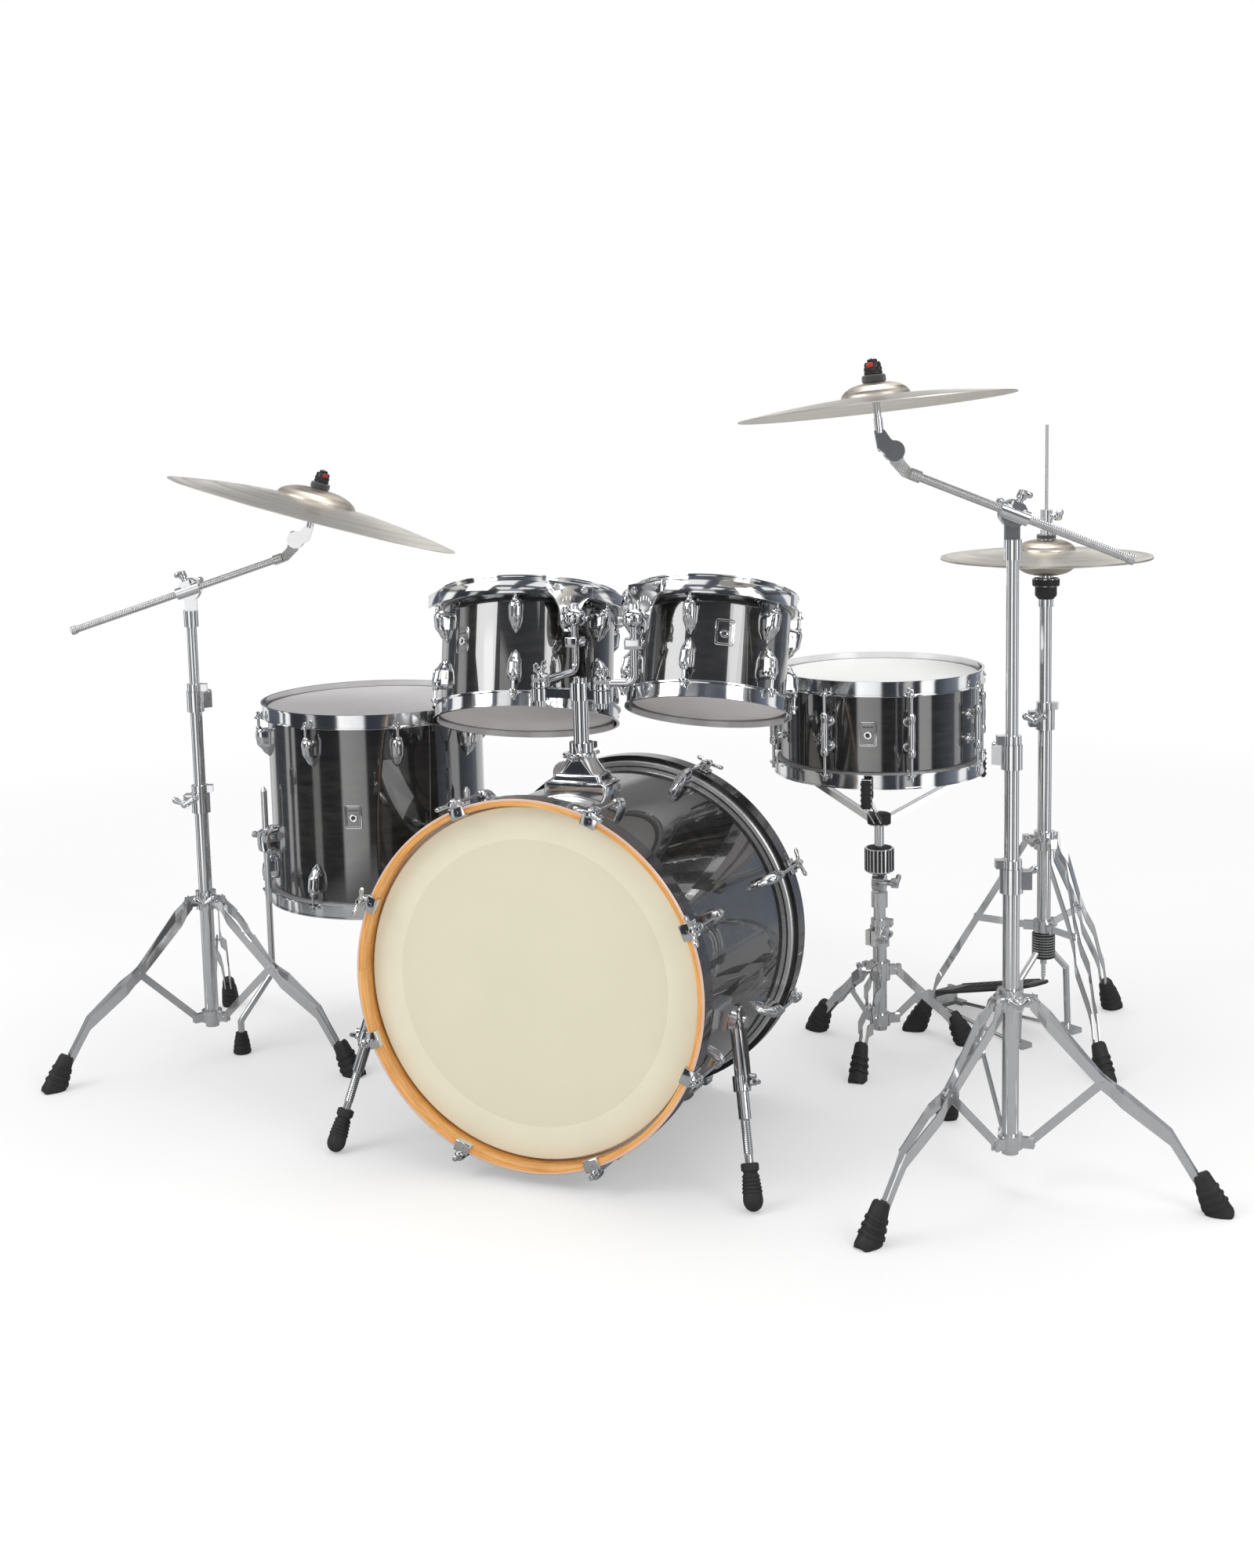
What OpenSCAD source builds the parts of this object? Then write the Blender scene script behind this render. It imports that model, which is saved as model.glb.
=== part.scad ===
// Five-piece acoustic drum kit with two boom cymbal stands and a hi-hat.
// Millimetres, +Z up, the audience looks along +Y. The origin lies on the floor
// under the middle of the kit. X runs to the audience's right.

/* [Bass drum] */
// Outer diameter of the bass drum shell (22 in)
bass_d = 558.8; // [550:0.1:565]
// Depth of the bass drum shell (18 in)
bass_depth = 457.2; // [440:0.1:470]
// Wall of the bass drum shell
bass_wall = 7; // [5:0.5:9]
// Width of a wooden hoop along the drum
bass_hoop_w = 38; // [34:1:42]
// Radial thickness of a wooden hoop
bass_hoop_t = 12; // [10:0.5:13]
// Lift of the front of the drum, as an angle
bass_tilt = 2.4; // [1.8:0.1:3]
// Tension positions on each head of the bass drum
bass_lug_count = 8; // [8:1:8]

/* [Toms and snare drum] */
// Outer diameter of the left rack tom (12 in)
tom_left_d = 304.8; // [300:0.1:310]
// Depth of the left rack tom (8 in)
tom_left_depth = 203.2; // [195:0.1:210]
// Outer diameter of the right rack tom (10 in)
tom_right_d = 254; // [250:0.1:258]
// Depth of the right rack tom (7 in)
tom_right_depth = 177.8; // [170:0.1:185]
// Outer diameter of the floor tom (16 in)
floor_tom_d = 406.4; // [400:0.1:412]
// Depth of the floor tom (14 in)
floor_tom_depth = 355.6; // [345:0.1:362]
// Outer diameter of the snare drum (14 in)
snare_d = 355.6; // [350:0.1:360]
// Depth of the snare drum (6.5 in)
snare_depth = 165.1; // [160:0.1:170]
// Wall of the tom and snare drum shells
drum_wall = 6; // [5:0.5:8]

/* [Cymbals] */
// Diameter of the ride cymbal on the left stand (21 in)
ride_d = 533.4; // [500:0.1:540]
// Diameter of the crash cymbal on the right stand (16 in)
crash_d = 406.4; // [380:0.1:430]
// Diameter of each hi-hat cymbal (15 in)
hat_d = 381; // [360:0.1:385]
// Metal thickness of a cymbal
cymbal_t = 1.6; // [1.2:0.1:2]

/* [Hardware] */
// Outer radius of a base tube (25.4 mm tube)
tube_a = 12.7; // [12.7:0.1:12.7]
// Outer radius of a middle tube (22.2 mm tube)
tube_b = 11.1; // [11.1:0.1:11.1]
// Outer radius of an upper tube (19 mm tube)
tube_c = 9.5; // [9.5:0.1:9.5]
// Radius of a boom rod and of the tom arms (12.7 mm rod)
boom_r = 6.35; // [6.35:0.01:6.35]
// Radius of the hi-hat pull rod (6 mm rod)
pull_rod_r = 3; // [3:0.1:3]
// Radial running fit between two telescoping tubes
fit = 0.05; // [0.02:0.01:0.09]

/* [Hidden] */
$fn = 72;

// Places of the items on the floor, measured from the middle of the kit
bass_x = -3;
bass_front_y = -566;
floor_tom_at = [-585, 33, 0];
snare_at = [354, 218, 0];
left_stand_at = [-830, -202, 0];
right_stand_at = [708, -339, 0];
hihat_at = [625, 384, 0];

// Heights of the top rims
floor_tom_rim = 660;
snare_rim = 724;
tom_left_rim = [-212, -55, 869];
tom_right_rim = [170, -134, 890];

// Lean of each rack tom: angle from upright, direction of the lean, direction of its mount
tom_left_lean = [19.8, 106.1, -43];
tom_right_lean = [20.4, 95.6, -117];

// Bass drum: a head sits this far behind the outer face of its hoop
edge_in = 28;
bass_r = bass_d / 2;
bass_hoop_in = bass_r + 6.1;
bass_hoop_out = bass_hoop_in + bass_hoop_t;
bass_len = bass_depth + 2 * edge_in;
bass_front_z = bass_hoop_out * cos(bass_tilt) + bass_len * sin(bass_tilt);
claw_rod_at = bass_hoop_out + 9;

// Rim sections of the metal-hooped drums, measured from the bearing edge
rim_up = 12;
hoop_foot = -14;
ear_at = 19;
lug_top = -34;

// Spurs: bracket place on the drum (angle below the side, distance behind the front face)
spur_angle = -9;
spur_back = 110;
spur_radius = 312;
spur_foot_at = [362, bass_front_y + 15, 15];
spur_pin_r = 6;

// Tom post and double tom holder
post_at = [0, bass_front_y + 240, 0];
mount_top = 649;
post_foot = 480;
jaw_z = 752;
jaw_left = [-71, post_at.y, 0];
jaw_right = [39, post_at.y, 0];
arm_z = 763;
ball_r = 13;
ball_out = 52;
ball_down = -78;

// Floor tom legs
leg_angles = [-134, -14, 106];
leg_r = 6;
leg_out = 20;
leg_bracket_z = 405;
leg_kink = 65;

// Tripods: height of the leg collar, height of the brace collar, foot radius, first leg
boom_tripod = [303, 78, 311];
boom_bends = [[139, 186], [240, 112]];
hihat_tripod_size = [383, 219, 243];
hihat_bends = [[123, 229], [200, 98]];
snare_tripod_size = [155, 62, 168];
snare_bends = [[79, 107], [120, 68]];
left_leg_turn = 237.3;
right_leg_turn = 241.1;
hihat_leg_turn = 187;
snare_leg_turn = 151.3;
collar_r = 19;
foot_h = 30;

// Boom stands: direction of the boom, pivot height, boom angle, rod lengths, cymbal lean
boom_side = 12;
left_boom = [22.5, 886, 17.8, 224, 175, 16.4, -4];
right_boom = [202.5, 1043, 22.3, 186, 157, 5, -4.5];
base_tube_top = 490;
mid_tube_top = 680;
knuckle_drop = 52;
tilter_fwd = 43;
tilter_up = 22;
cymbal_axis = 19;
bell_top_z = 101;

// Hi-hat heights
hat_plane = 910.5;
hat_h = 31;
hat_crown = hat_plane + cymbal_t + hat_h;
hihat_clamp_z = 612;
hihat_seat_z = 828;
pedal_turn = 147.8;
pedal_heel = 268;
pedal_heel_z = 22;
pedal_rise = 16;
pedal_board = 276;

// Snare stand heights
basket_z = 440;
basket_hinge_z = 322;
basket_arms = [-81, 39, 159];
snare_first_lug = -103.3;
floor_first_lug = -50.6;

function turn_z(a, p) = [p.x * cos(a) - p.y * sin(a), p.x * sin(a) + p.y * cos(a), p.z];
function turn_y(a, p) = [p.x * cos(a) + p.z * sin(a), p.y, -p.x * sin(a) + p.z * cos(a)];
function turn_x(a, p) = [p.x, p.y * cos(a) - p.z * sin(a), p.y * sin(a) + p.z * cos(a)];

// Place in the kit of a point given in the bass drum's frame
function bass_point(p) = [bass_x, bass_front_y, bass_front_z] + turn_x(90 - bass_tilt, p);

// Place in the kit of the ball joint of a rack tom
function ball_point(rim, lean, r) =
    rim + turn_z(lean[1], turn_y(lean[0], turn_z(lean[2] - lean[1], [r + ball_out, 0, ball_down])));

// ---------------------------------------------------------------- general pieces

// A ring about Z from z = 0 up
module ring(ro, ri, h) {
    rotate_extrude() translate([ri, 0]) square([ro - ri, h]);
}

// Children repeated n times about Z
module around(n, first = 0) {
    for (i = [0:n - 1]) rotate([0, 0, first + i * 360 / n]) children();
}

// A round bar from point a to point b
module bar(a, b, r) {
    v = b - a;
    translate(a) rotate([0, acos(v.z / norm(v)), atan2(v.y, v.x)]) cylinder(r = r, h = norm(v));
}

// A wing bolt along +X: shank, hub and two wings
module wing_bolt(shank = 12, r = 4, span = 44) {
    rotate([0, 90, 0]) cylinder(r = r, h = shank);
    translate([shank, 0, 0]) rotate([0, 90, 0]) cylinder(r = r + 3.5, h = 12);
    for (s = [-1, 1]) {
        translate([shank + 8, 0, 0]) rotate([s * 62, 0, 0]) translate([-3, -2.5, 4])
            cube([8, 5, span / 2 - 4]);
    }
}

// A drum shell standing on z = 0 with bevelled bearing edges
module shell(r, wall, h) {
    rotate_extrude() polygon([
        [r - wall, 5], [r - 1.5, 0], [r, 2], [r, h - 2], [r - 1.5, h], [r - wall, h - 5]
    ]);
}

// A drum head on a bearing edge at z = 0, with its collar and flesh hoop
module head(r, flesh = 6.6, drop = 10) {
    rotate_extrude() polygon([
        [0, 0.2], [r + 0.6, 0.2], [r + 0.6, -drop - 6], [r + flesh, -drop - 6],
        [r + flesh, -drop - 0.3], [r + 1.6, -drop - 0.3], [r + 1.6, 0], [r + 0.4, 1.2], [0, 1.2]
    ]);
}

// A triple-flanged steel hoop with ears, on a bearing edge at z = 0
module metal_hoop(r, n, first) {
    difference() {
        union() {
            rotate_extrude() polygon([
                [r + 2.2, -9.7], [r + 7, -9.7], [r + 7, hoop_foot], [r + 14, hoop_foot],
                [r + 14, hoop_foot + 2.3], [r + 9.3, hoop_foot + 2.3], [r + 9.3, rim_up - 2.3],
                [r + rim_up, rim_up - 2.3], [r + rim_up, rim_up], [r + 7, rim_up],
                [r + 7, -7.4], [r + 2.2, -7.4]
            ]);
            around(n, first) {
                translate([r + 12, -8, hoop_foot]) cube([7, 16, 2.3]);
                translate([r + 18, 0, hoop_foot]) cylinder(r = 8.4, h = 2.3);
            }
        }
        around(n, first) translate([r + ear_at, 0, hoop_foot - 1]) cylinder(r = 3.2, h = 5);
    }
}

// A tension rod with its key head, hanging from a hoop ear
module tension_rod(r, length = 44) {
    translate([r + ear_at, 0, hoop_foot + 2.5]) {
        translate([0, 0, -length]) cylinder(r = 2.7, h = length);
        cylinder(r = 5, h = 2.5);
        translate([-3.2, -3.2, 2.5]) cube([6.4, 6.4, 8]);
    }
}

// A teardrop lug on a shell of radius r: deepest at its top, pointed at its tail
module lug(r, reach, top, length, w) {
    difference() {
        intersection() {
            rotate([90, 0, 0]) linear_extrude(w, center = true) polygon([
                [r - 4, top], [r + reach, top], [r + reach + 1, top - 0.35 * length],
                [r + 0.62 * reach, top - 0.72 * length], [r + 2, top - length],
                [r - 4, top - length]
            ]);
            rotate([90, 0, 90]) linear_extrude(2 * r) polygon([
                [-w / 2, top + 1], [w / 2, top + 1], [w / 2, top - 0.45 * length],
                [2, top - length - 1], [-2, top - length - 1], [-w / 2, top - 0.45 * length]
            ]);
        }
        translate([0, 0, top - 2 * length]) cylinder(r = r + 0.05, h = 3 * length, $fn = 240);
        translate([r + reach - 7, 0, top - 0.5 * length]) cylinder(r = 2.9, h = length);
    }
}

// Both ends of a drum of depth h: the children are drawn at each bearing edge
module both_ends(h) {
    translate([0, 0, h]) children();
    rotate([180, 0, 0]) children();
}

// A shell's worth of lugs and rods for one end; the far end mirrors it
module end_hardware(r, n, first) {
    around(n, first) {
        lug(r, 26, lug_top, 52, 16);
        tension_rod(r);
    }
}

// ---------------------------------------------------------------- bass drum

module in_bass() {
    translate([bass_x, bass_front_y, bass_front_z]) rotate([90 - bass_tilt, 0, 0]) children();
}

// Children drawn at the front bearing edge and at the rear one
module bass_ends(front = true, rear = true) {
    in_bass() {
        if (front) translate([0, 0, -edge_in]) children();
        if (rear) translate([0, 0, edge_in - bass_len]) rotate([0, 180, 0]) children();
    }
}

module bass_angles() {
    around(bass_lug_count, 180 / bass_lug_count) children();
}

module bass_shell() {
    color([0.16, 0.16, 0.17]) difference() {
        in_bass() translate([0, 0, -edge_in - bass_depth]) shell(bass_r, bass_wall, bass_depth);
        translate([post_at.x, post_at.y, 500]) cylinder(r = 15, h = 150);
    }
}

module wood_hoop() {
    rotate_extrude() polygon([
        [bass_hoop_in, edge_in - bass_hoop_w], [bass_hoop_out, edge_in - bass_hoop_w],
        [bass_hoop_out, edge_in - 2], [bass_hoop_out - 2, edge_in],
        [bass_hoop_in + 2, edge_in], [bass_hoop_in, edge_in - 2]
    ]);
}

module bass_hoop_front() {
    color([0.85, 0.55, 0.3]) bass_ends(rear = false) wood_hoop();
}

module bass_hoop_rear() {
    color([0.1, 0.1, 0.11]) bass_ends(front = false) wood_hoop();
}

module bass_heads() {
    color([0.89, 0.87, 0.78]) bass_ends() head(bass_r, 9, bass_hoop_w - edge_in);
}

module bass_lugs() {
    color([0.8, 0.81, 0.83]) bass_ends() bass_angles()
        lug(bass_r, claw_rod_at - bass_r + 7, -62, 56, 20);
}

// A claw hooked over the hoop, with its tension rod; wing handle on top, key head below
module claw(handle) {
    difference() {
        union() {
            translate([bass_hoop_out + 0.3, -13, 2]) cube([3.2, 26, edge_in + 1.5]);
            translate([bass_hoop_in - 4, -13, edge_in + 0.3])
                cube([bass_hoop_t + 7.5, 26, 3.2]);
            translate([bass_hoop_in - 4, -13, edge_in - 9]) cube([3.2, 26, 12.5]);
            translate([claw_rod_at, 0, 10]) cylinder(r = 7.5, h = edge_in - 4);
        }
        translate([claw_rod_at, 0, 0]) cylinder(r = 3.3, h = 60);
    }
    translate([claw_rod_at, 0, -84]) cylinder(r = 2.8, h = 119);
    translate([claw_rod_at, 0, edge_in + 6.3]) {
        cylinder(r = 5.5, h = 8);
        if (handle) {
            for (s = [-1, 1]) rotate([s * 68, 0, 0]) translate([-2.5, -2.5, 2]) cube([5, 5, 24]);
        } else {
            translate([-3.3, -3.3, 7]) cube([6.6, 6.6, 6]);
        }
    }
}

module bass_claws() {
    color([0.84, 0.85, 0.87]) bass_ends() for (i = [0:bass_lug_count - 1]) {
        a = (i + 0.5) * 360 / bass_lug_count;
        rotate([0, 0, a]) claw(sin(a) > 0);
    }
}

// Place of the spur's hinge in the kit; side is 1 on the right and -1 on the left
function spur_pivot(side) = bass_point([
    side * spur_radius * cos(spur_angle), spur_radius * sin(spur_angle), -spur_back
]);

// Children drawn with +X pointing out of the shell at the spur's bracket
module at_spur(side) {
    in_bass() rotate([0, 0, side > 0 ? spur_angle : 180 - spur_angle])
        translate([0, 0, -spur_back]) children();
}

module spur_brackets() {
    color([0.8, 0.81, 0.83]) for (side = [-1, 1]) at_spur(side) difference() {
        union() {
            translate([bass_r - 8, -19, -48]) cube([16, 38, 84]);
            translate([bass_r, -15, -22]) cube([spur_radius - bass_r - 6.5, 30, 42]);
            translate([spur_radius - 10, 0, 0]) rotate([0, 90, 0]) cylinder(r = spur_pin_r, h = 25);
            translate([spur_radius + 12.6, 0, 0]) rotate([0, 90, 0]) cylinder(r = 11, h = 5);
        }
        translate([0, 0, -100]) cylinder(r = bass_r + 0.05, h = 200, $fn = 360);
    }
}

// A spur: hinge disc, outer tube with its lock bolt, inner rod
module spur(side) {
    pivot = spur_pivot(side);
    foot = [side * spur_foot_at.x, spur_foot_at.y, spur_foot_at.z];
    way = (foot - pivot) / norm(foot - pivot);
    color([0.75, 0.76, 0.78]) {
        difference() {
            union() {
                at_spur(side) translate([spur_radius - 6, 0, 0]) rotate([0, 90, 0])
                    cylinder(r = 16, h = 12);
                bar(pivot + 13 * way, pivot + 150 * way, 9.5);
            }
            at_spur(side) translate([spur_radius - 10, 0, 0]) rotate([0, 90, 0])
                cylinder(r = spur_pin_r + fit, h = 40);
            at_spur(side) translate([spur_radius + 12, 0, 0]) rotate([0, 90, 0])
                cylinder(r = 13, h = 40);
            bar(pivot + 90 * way, pivot + 151 * way, boom_r + fit);
        }
        bar(pivot + 92 * way, foot - 16 * way, boom_r);
        bar(pivot + 84 * way + [side * 8, 0, 0], pivot + 84 * way + [side * 24, 0, 0], 5);
    }
}

module spur_left() {
    spur(-1);
}

module spur_right() {
    spur(1);
}

// A rubber ball foot with its collar, clear of the rod above it
module spur_foot(side) {
    pivot = spur_pivot(side);
    foot = [side * spur_foot_at.x, spur_foot_at.y, spur_foot_at.z];
    way = (foot - pivot) / norm(foot - pivot);
    color([0.12, 0.13, 0.14]) difference() {
        union() {
            translate(foot) sphere(r = spur_foot_at.z);
            bar(foot - 40 * way, foot - 4 * way, 12.5);
        }
        bar(foot - 60 * way, foot - 15.9 * way, boom_r + 0.05);
    }
}

module spur_left_foot() {
    spur_foot(-1);
}

module spur_right_foot() {
    spur_foot(1);
}

// ---------------------------------------------------------------- tom holder

module tom_mount_base() {
    color([0.8, 0.81, 0.83]) difference() {
        translate([post_at.x, post_at.y, 0]) {
            translate([-56, -34, 574]) cube([112, 68, 24]);
            translate([-43, -27, 590]) cube([86, 54, 22]);
            translate([-31, -24, 600]) cube([62, 48, 22]);
            cylinder_between(21.5, 610, mount_top);
            translate([0, -30, mount_top - 14]) rotate([90, 0, 0]) cylinder(r = 5, h = 12);
            translate([0, -20, mount_top - 14]) rotate([90, 0, 0]) cylinder(r = 8, h = 12);
        }
        in_bass() translate([0, 0, -bass_len])
            cylinder(r = bass_r + 0.05, h = bass_len, $fn = 360);
        translate([post_at.x, post_at.y, 500]) cylinder(r = tube_a + fit, h = 200);
    }
}

module cylinder_between(r, z0, z1) {
    translate([0, 0, z0]) cylinder(r = r, h = z1 - z0);
}

module tom_post() {
    color([0.84, 0.85, 0.87]) {
        translate([post_at.x, post_at.y, 0]) {
            translate([0, 0, post_foot]) ring(tube_a, tube_a - 2, 735 - post_foot);
            difference() {
                union() {
                    cylinder_between(20, mount_top + 0.3, mount_top + 16);
                    translate([0, 14, mount_top + 3]) cube([16, 14, 10]);
                }
                cylinder_between(tube_a - 0.5, mount_top - 1, mount_top + 20);
            }
            cylinder_between(17, 735, 764);
            cylinder_between(11, 764, 772);
        }
        for (jaw = [jaw_left, jaw_right]) {
            translate([min(jaw.x, 0), post_at.y - 8, jaw_z - 15]) cube([abs(jaw.x), 16, 15]);
            translate([jaw.x, jaw.y, jaw_z - 20]) cylinder(r = 15, h = 20);
            translate([jaw.x, jaw.y, jaw_z - 30]) cylinder(r = 8, h = 11);
        }
    }
}

// An L-shaped arm from the holder's jaw to the ball under a rack tom
module tom_arm(jaw, ball) {
    reach = norm([ball.x - jaw.x, ball.y - jaw.y]);
    color([0.86, 0.87, 0.89]) {
        translate([jaw.x, jaw.y, 0]) {
            cylinder_between(15, jaw_z + 0.3, jaw_z + 23);
            cylinder_between(6, jaw_z + 22, jaw_z + 36);
            translate([-3, -20, jaw_z + 27]) cube([6, 40, 9]);
            rotate([0, 0, atan2(ball.y - jaw.y, ball.x - jaw.x)]) translate([0, 0, arm_z])
                rotate([0, 90, 0]) cylinder(r = boom_r, h = reach);
        }
        translate([ball.x, ball.y, arm_z]) sphere(r = boom_r + 0.1);
        translate([ball.x, ball.y, arm_z]) cylinder(r = boom_r, h = ball.z - arm_z);
        translate(ball) sphere(r = ball_r);
    }
}

ball_left = ball_point(tom_left_rim, tom_left_lean, tom_left_d / 2);
ball_right = ball_point(tom_right_rim, tom_right_lean, tom_right_d / 2);

module tom_left_arm() {
    tom_arm(jaw_left, ball_left);
}

module tom_right_arm() {
    tom_arm(jaw_right, ball_right);
}

// ---------------------------------------------------------------- rack toms

// The frame of a rack tom: z = 0 at the bottom bearing edge, +X towards its mount
module in_tom(rim, lean, depth) {
    translate(rim) rotate([0, 0, lean[1]]) rotate([0, lean[0], 0])
        rotate([0, 0, lean[2] - lean[1]]) translate([0, 0, -rim_up - depth]) children();
}

module tom_hoops(r, depth) {
    color([0.84, 0.85, 0.87]) both_ends(depth) metal_hoop(r, 6, 30);
}

module tom_heads(r, depth) {
    color([0.75, 0.74, 0.74]) both_ends(depth) head(r);
}

// Mount band on four tension rods, and the plate that carries the ball clamp
module tom_band(r, depth) {
    band = r + 27;
    translate([0, 0, depth]) {
        difference() {
            translate([0, 0, -24]) ring(band + 3, band, 22);
            translate([-2 * band, -2 * band, -30]) cube([2 * band - 24, 4 * band, 40]);
        }
        for (a = [-90, -30, 30, 90]) rotate([0, 0, a]) difference() {
            translate([r + 12, -8, -24]) cube([15.5, 16, 2.2]);
            translate([r + ear_at, 0, -30]) cylinder(r = 3.2, h = 10);
        }
        translate([band + 1.2, -25, -30]) cube([5.8, 50, 30]);
        translate([band + 3, -17, -84]) cube([3, 34, 56]);
    }
}

module tom_hardware(rim, lean, r, depth, ball) {
    color([0.84, 0.85, 0.87]) {
        in_tom(rim, lean, depth) {
            both_ends(depth) end_hardware(r, 6, 30);
            tom_band(r, depth);
        }
        translate(ball) difference() {
            union() {
                sphere(r = 18);
                translate([0, 0, 10]) cylinder(r = 8, h = 16);
            }
            sphere(r = ball_r + 0.3);
            translate([0, 0, -40]) cylinder(r = 11.4, h = 40);
        }
    }
}

module tom_left_shell() {
    color([0.16, 0.16, 0.17]) in_tom(tom_left_rim, tom_left_lean, tom_left_depth)
        shell(tom_left_d / 2, drum_wall, tom_left_depth);
}

module tom_left_hoops() {
    in_tom(tom_left_rim, tom_left_lean, tom_left_depth) tom_hoops(tom_left_d / 2, tom_left_depth);
}

module tom_left_heads() {
    in_tom(tom_left_rim, tom_left_lean, tom_left_depth) tom_heads(tom_left_d / 2, tom_left_depth);
}

module tom_left_hardware() {
    tom_hardware(tom_left_rim, tom_left_lean, tom_left_d / 2, tom_left_depth, ball_left);
}

module tom_right_shell() {
    color([0.16, 0.16, 0.17]) in_tom(tom_right_rim, tom_right_lean, tom_right_depth)
        shell(tom_right_d / 2, drum_wall, tom_right_depth);
}

module tom_right_hoops() {
    in_tom(tom_right_rim, tom_right_lean, tom_right_depth)
        tom_hoops(tom_right_d / 2, tom_right_depth);
}

module tom_right_heads() {
    in_tom(tom_right_rim, tom_right_lean, tom_right_depth)
        tom_heads(tom_right_d / 2, tom_right_depth);
}

module tom_right_hardware() {
    tom_hardware(tom_right_rim, tom_right_lean, tom_right_d / 2, tom_right_depth, ball_right);
}

// ---------------------------------------------------------------- floor tom

module in_floor_tom() {
    translate([floor_tom_at.x, floor_tom_at.y, floor_tom_rim - rim_up - floor_tom_depth])
        children();
}

module floor_tom_shell() {
    color([0.16, 0.16, 0.17]) in_floor_tom() shell(floor_tom_d / 2, drum_wall, floor_tom_depth);
}

module floor_tom_hoops() {
    color([0.84, 0.85, 0.87]) in_floor_tom() {
        translate([0, 0, floor_tom_depth]) metal_hoop(floor_tom_d / 2, 8, floor_first_lug);
        rotate([180, 0, 0]) metal_hoop(floor_tom_d / 2, 8, -floor_first_lug);
    }
}

module floor_tom_heads() {
    color([0.9, 0.89, 0.87]) in_floor_tom() both_ends(floor_tom_depth) head(floor_tom_d / 2);
}

// Lugs, tension rods and the three leg brackets with their wing bolts
module floor_tom_hardware() {
    r = floor_tom_d / 2;
    color([0.84, 0.85, 0.87]) {
        in_floor_tom() {
            translate([0, 0, floor_tom_depth]) end_hardware(r, 8, floor_first_lug);
            rotate([180, 0, 0]) end_hardware(r, 8, -floor_first_lug);
        }
        for (a = leg_angles) translate([floor_tom_at.x, floor_tom_at.y, leg_bracket_z])
            rotate([0, 0, a]) difference() {
                union() {
                    translate([r - 6, -15, -24]) cube([11, 30, 48]);
                    translate([r - 6, -13, -21]) cube([leg_out + 20, 26, 42]);
                    translate([r + leg_out, -12, 0]) rotate([0, 0, -90]) wing_bolt(10, 4, 40);
                }
                translate([0, 0, -60]) cylinder(r = r + 0.05, h = 120, $fn = 240);
                translate([r + leg_out, 0, -60]) cylinder(r = leg_r + fit, h = 120);
            }
    }
}

// A leg: pointed straight rod, kinked outward, ending in the foot's socket
module floor_tom_legs() {
    r = floor_tom_d / 2 + leg_out;
    color([0.86, 0.87, 0.89]) for (a = leg_angles)
        translate([floor_tom_at.x, floor_tom_at.y, 0]) rotate([0, 0, a]) {
            cylinder_at(r, 148, 500, leg_r);
            translate([r, 0, 500]) cylinder(r1 = leg_r, r2 = 2, h = 8);
            translate([r, 0, 148]) sphere(r = leg_r + 0.02);
            bar([r, 0, 148], [r + leg_kink, 0, 62], leg_r);
            translate([r + leg_kink, 0, 62]) sphere(r = leg_r + 0.02);
            cylinder_at(r + leg_kink, 34.2, 62, leg_r);
        }
}

module cylinder_at(x, z0, z1, r) {
    translate([x, 0, z0]) cylinder(r = r, h = z1 - z0);
}

// ---------------------------------------------------------------- snare drum

// The frame of the snare drum: z = 0 at the bottom bearing edge
module in_snare() {
    translate([snare_at.x, snare_at.y, snare_rim - rim_up - snare_depth]) children();
}

module snare_shell() {
    color([0.16, 0.16, 0.17]) in_snare() shell(snare_d / 2, drum_wall, snare_depth);
}

module snare_hoops() {
    color([0.84, 0.85, 0.87]) in_snare() {
        translate([0, 0, snare_depth]) metal_hoop(snare_d / 2, 8, snare_first_lug);
        rotate([180, 0, 0]) metal_hoop(snare_d / 2, 8, -snare_first_lug);
    }
}

module snare_heads() {
    color([0.9, 0.89, 0.87]) in_snare() both_ends(snare_depth) head(snare_d / 2);
}

// Tube lugs with their posts and rods, and the strainer body with its hinge pin
module snare_hardware() {
    r = snare_d / 2;
    color([0.84, 0.85, 0.87]) in_snare() {
        around(8, snare_first_lug) difference() {
            union() {
                translate([r + ear_at, 0, snare_depth / 2 - 36]) cylinder(r = 6.5, h = 72);
                for (z = [-22, 22]) translate([r - 3, 0, snare_depth / 2 + z])
                    rotate([0, 90, 0]) cylinder(r = 5, h = ear_at);
            }
            cylinder(r = r + 0.05, h = snare_depth, $fn = 240);
            translate([r + ear_at, 0, snare_depth / 2 - 50]) cylinder(r = 2.8, h = 100);
        }
        translate([0, 0, snare_depth]) around(8, snare_first_lug) tension_rod(r);
        rotate([180, 0, 0]) around(8, -snare_first_lug) tension_rod(r);
        at_strainer() {
            difference() {
                union() {
                    translate([r - 4, -14, 34]) cube([20, 28, 74]);
                    translate([r + 10, -14, 34]) cube([10, 28, 22]);
                }
                translate([0, 0, -10]) cylinder(r = r + 0.05, h = 200, $fn = 240);
            }
            translate([r + 15.5, 0, 92]) rotate([0, 90, 0]) cylinder(r = 4, h = 12);
        }
    }
}

module at_strainer() {
    rotate([0, 0, snare_first_lug - 67.5]) children();
}

// The throw-off lever turns on the strainer's pin
module strainer_lever() {
    r = snare_d / 2;
    color([0.2, 0.2, 0.21]) in_snare() at_strainer() difference() {
        union() {
            translate([r + 16.4, 0, 92]) rotate([0, 90, 0]) cylinder(r = 9, h = 9);
            translate([r + 17, -6, 92]) cube([8, 12, 46]);
        }
        translate([r, 0, 92]) rotate([0, 90, 0]) cylinder(r = 4 + fit, h = 50);
    }
}

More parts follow.
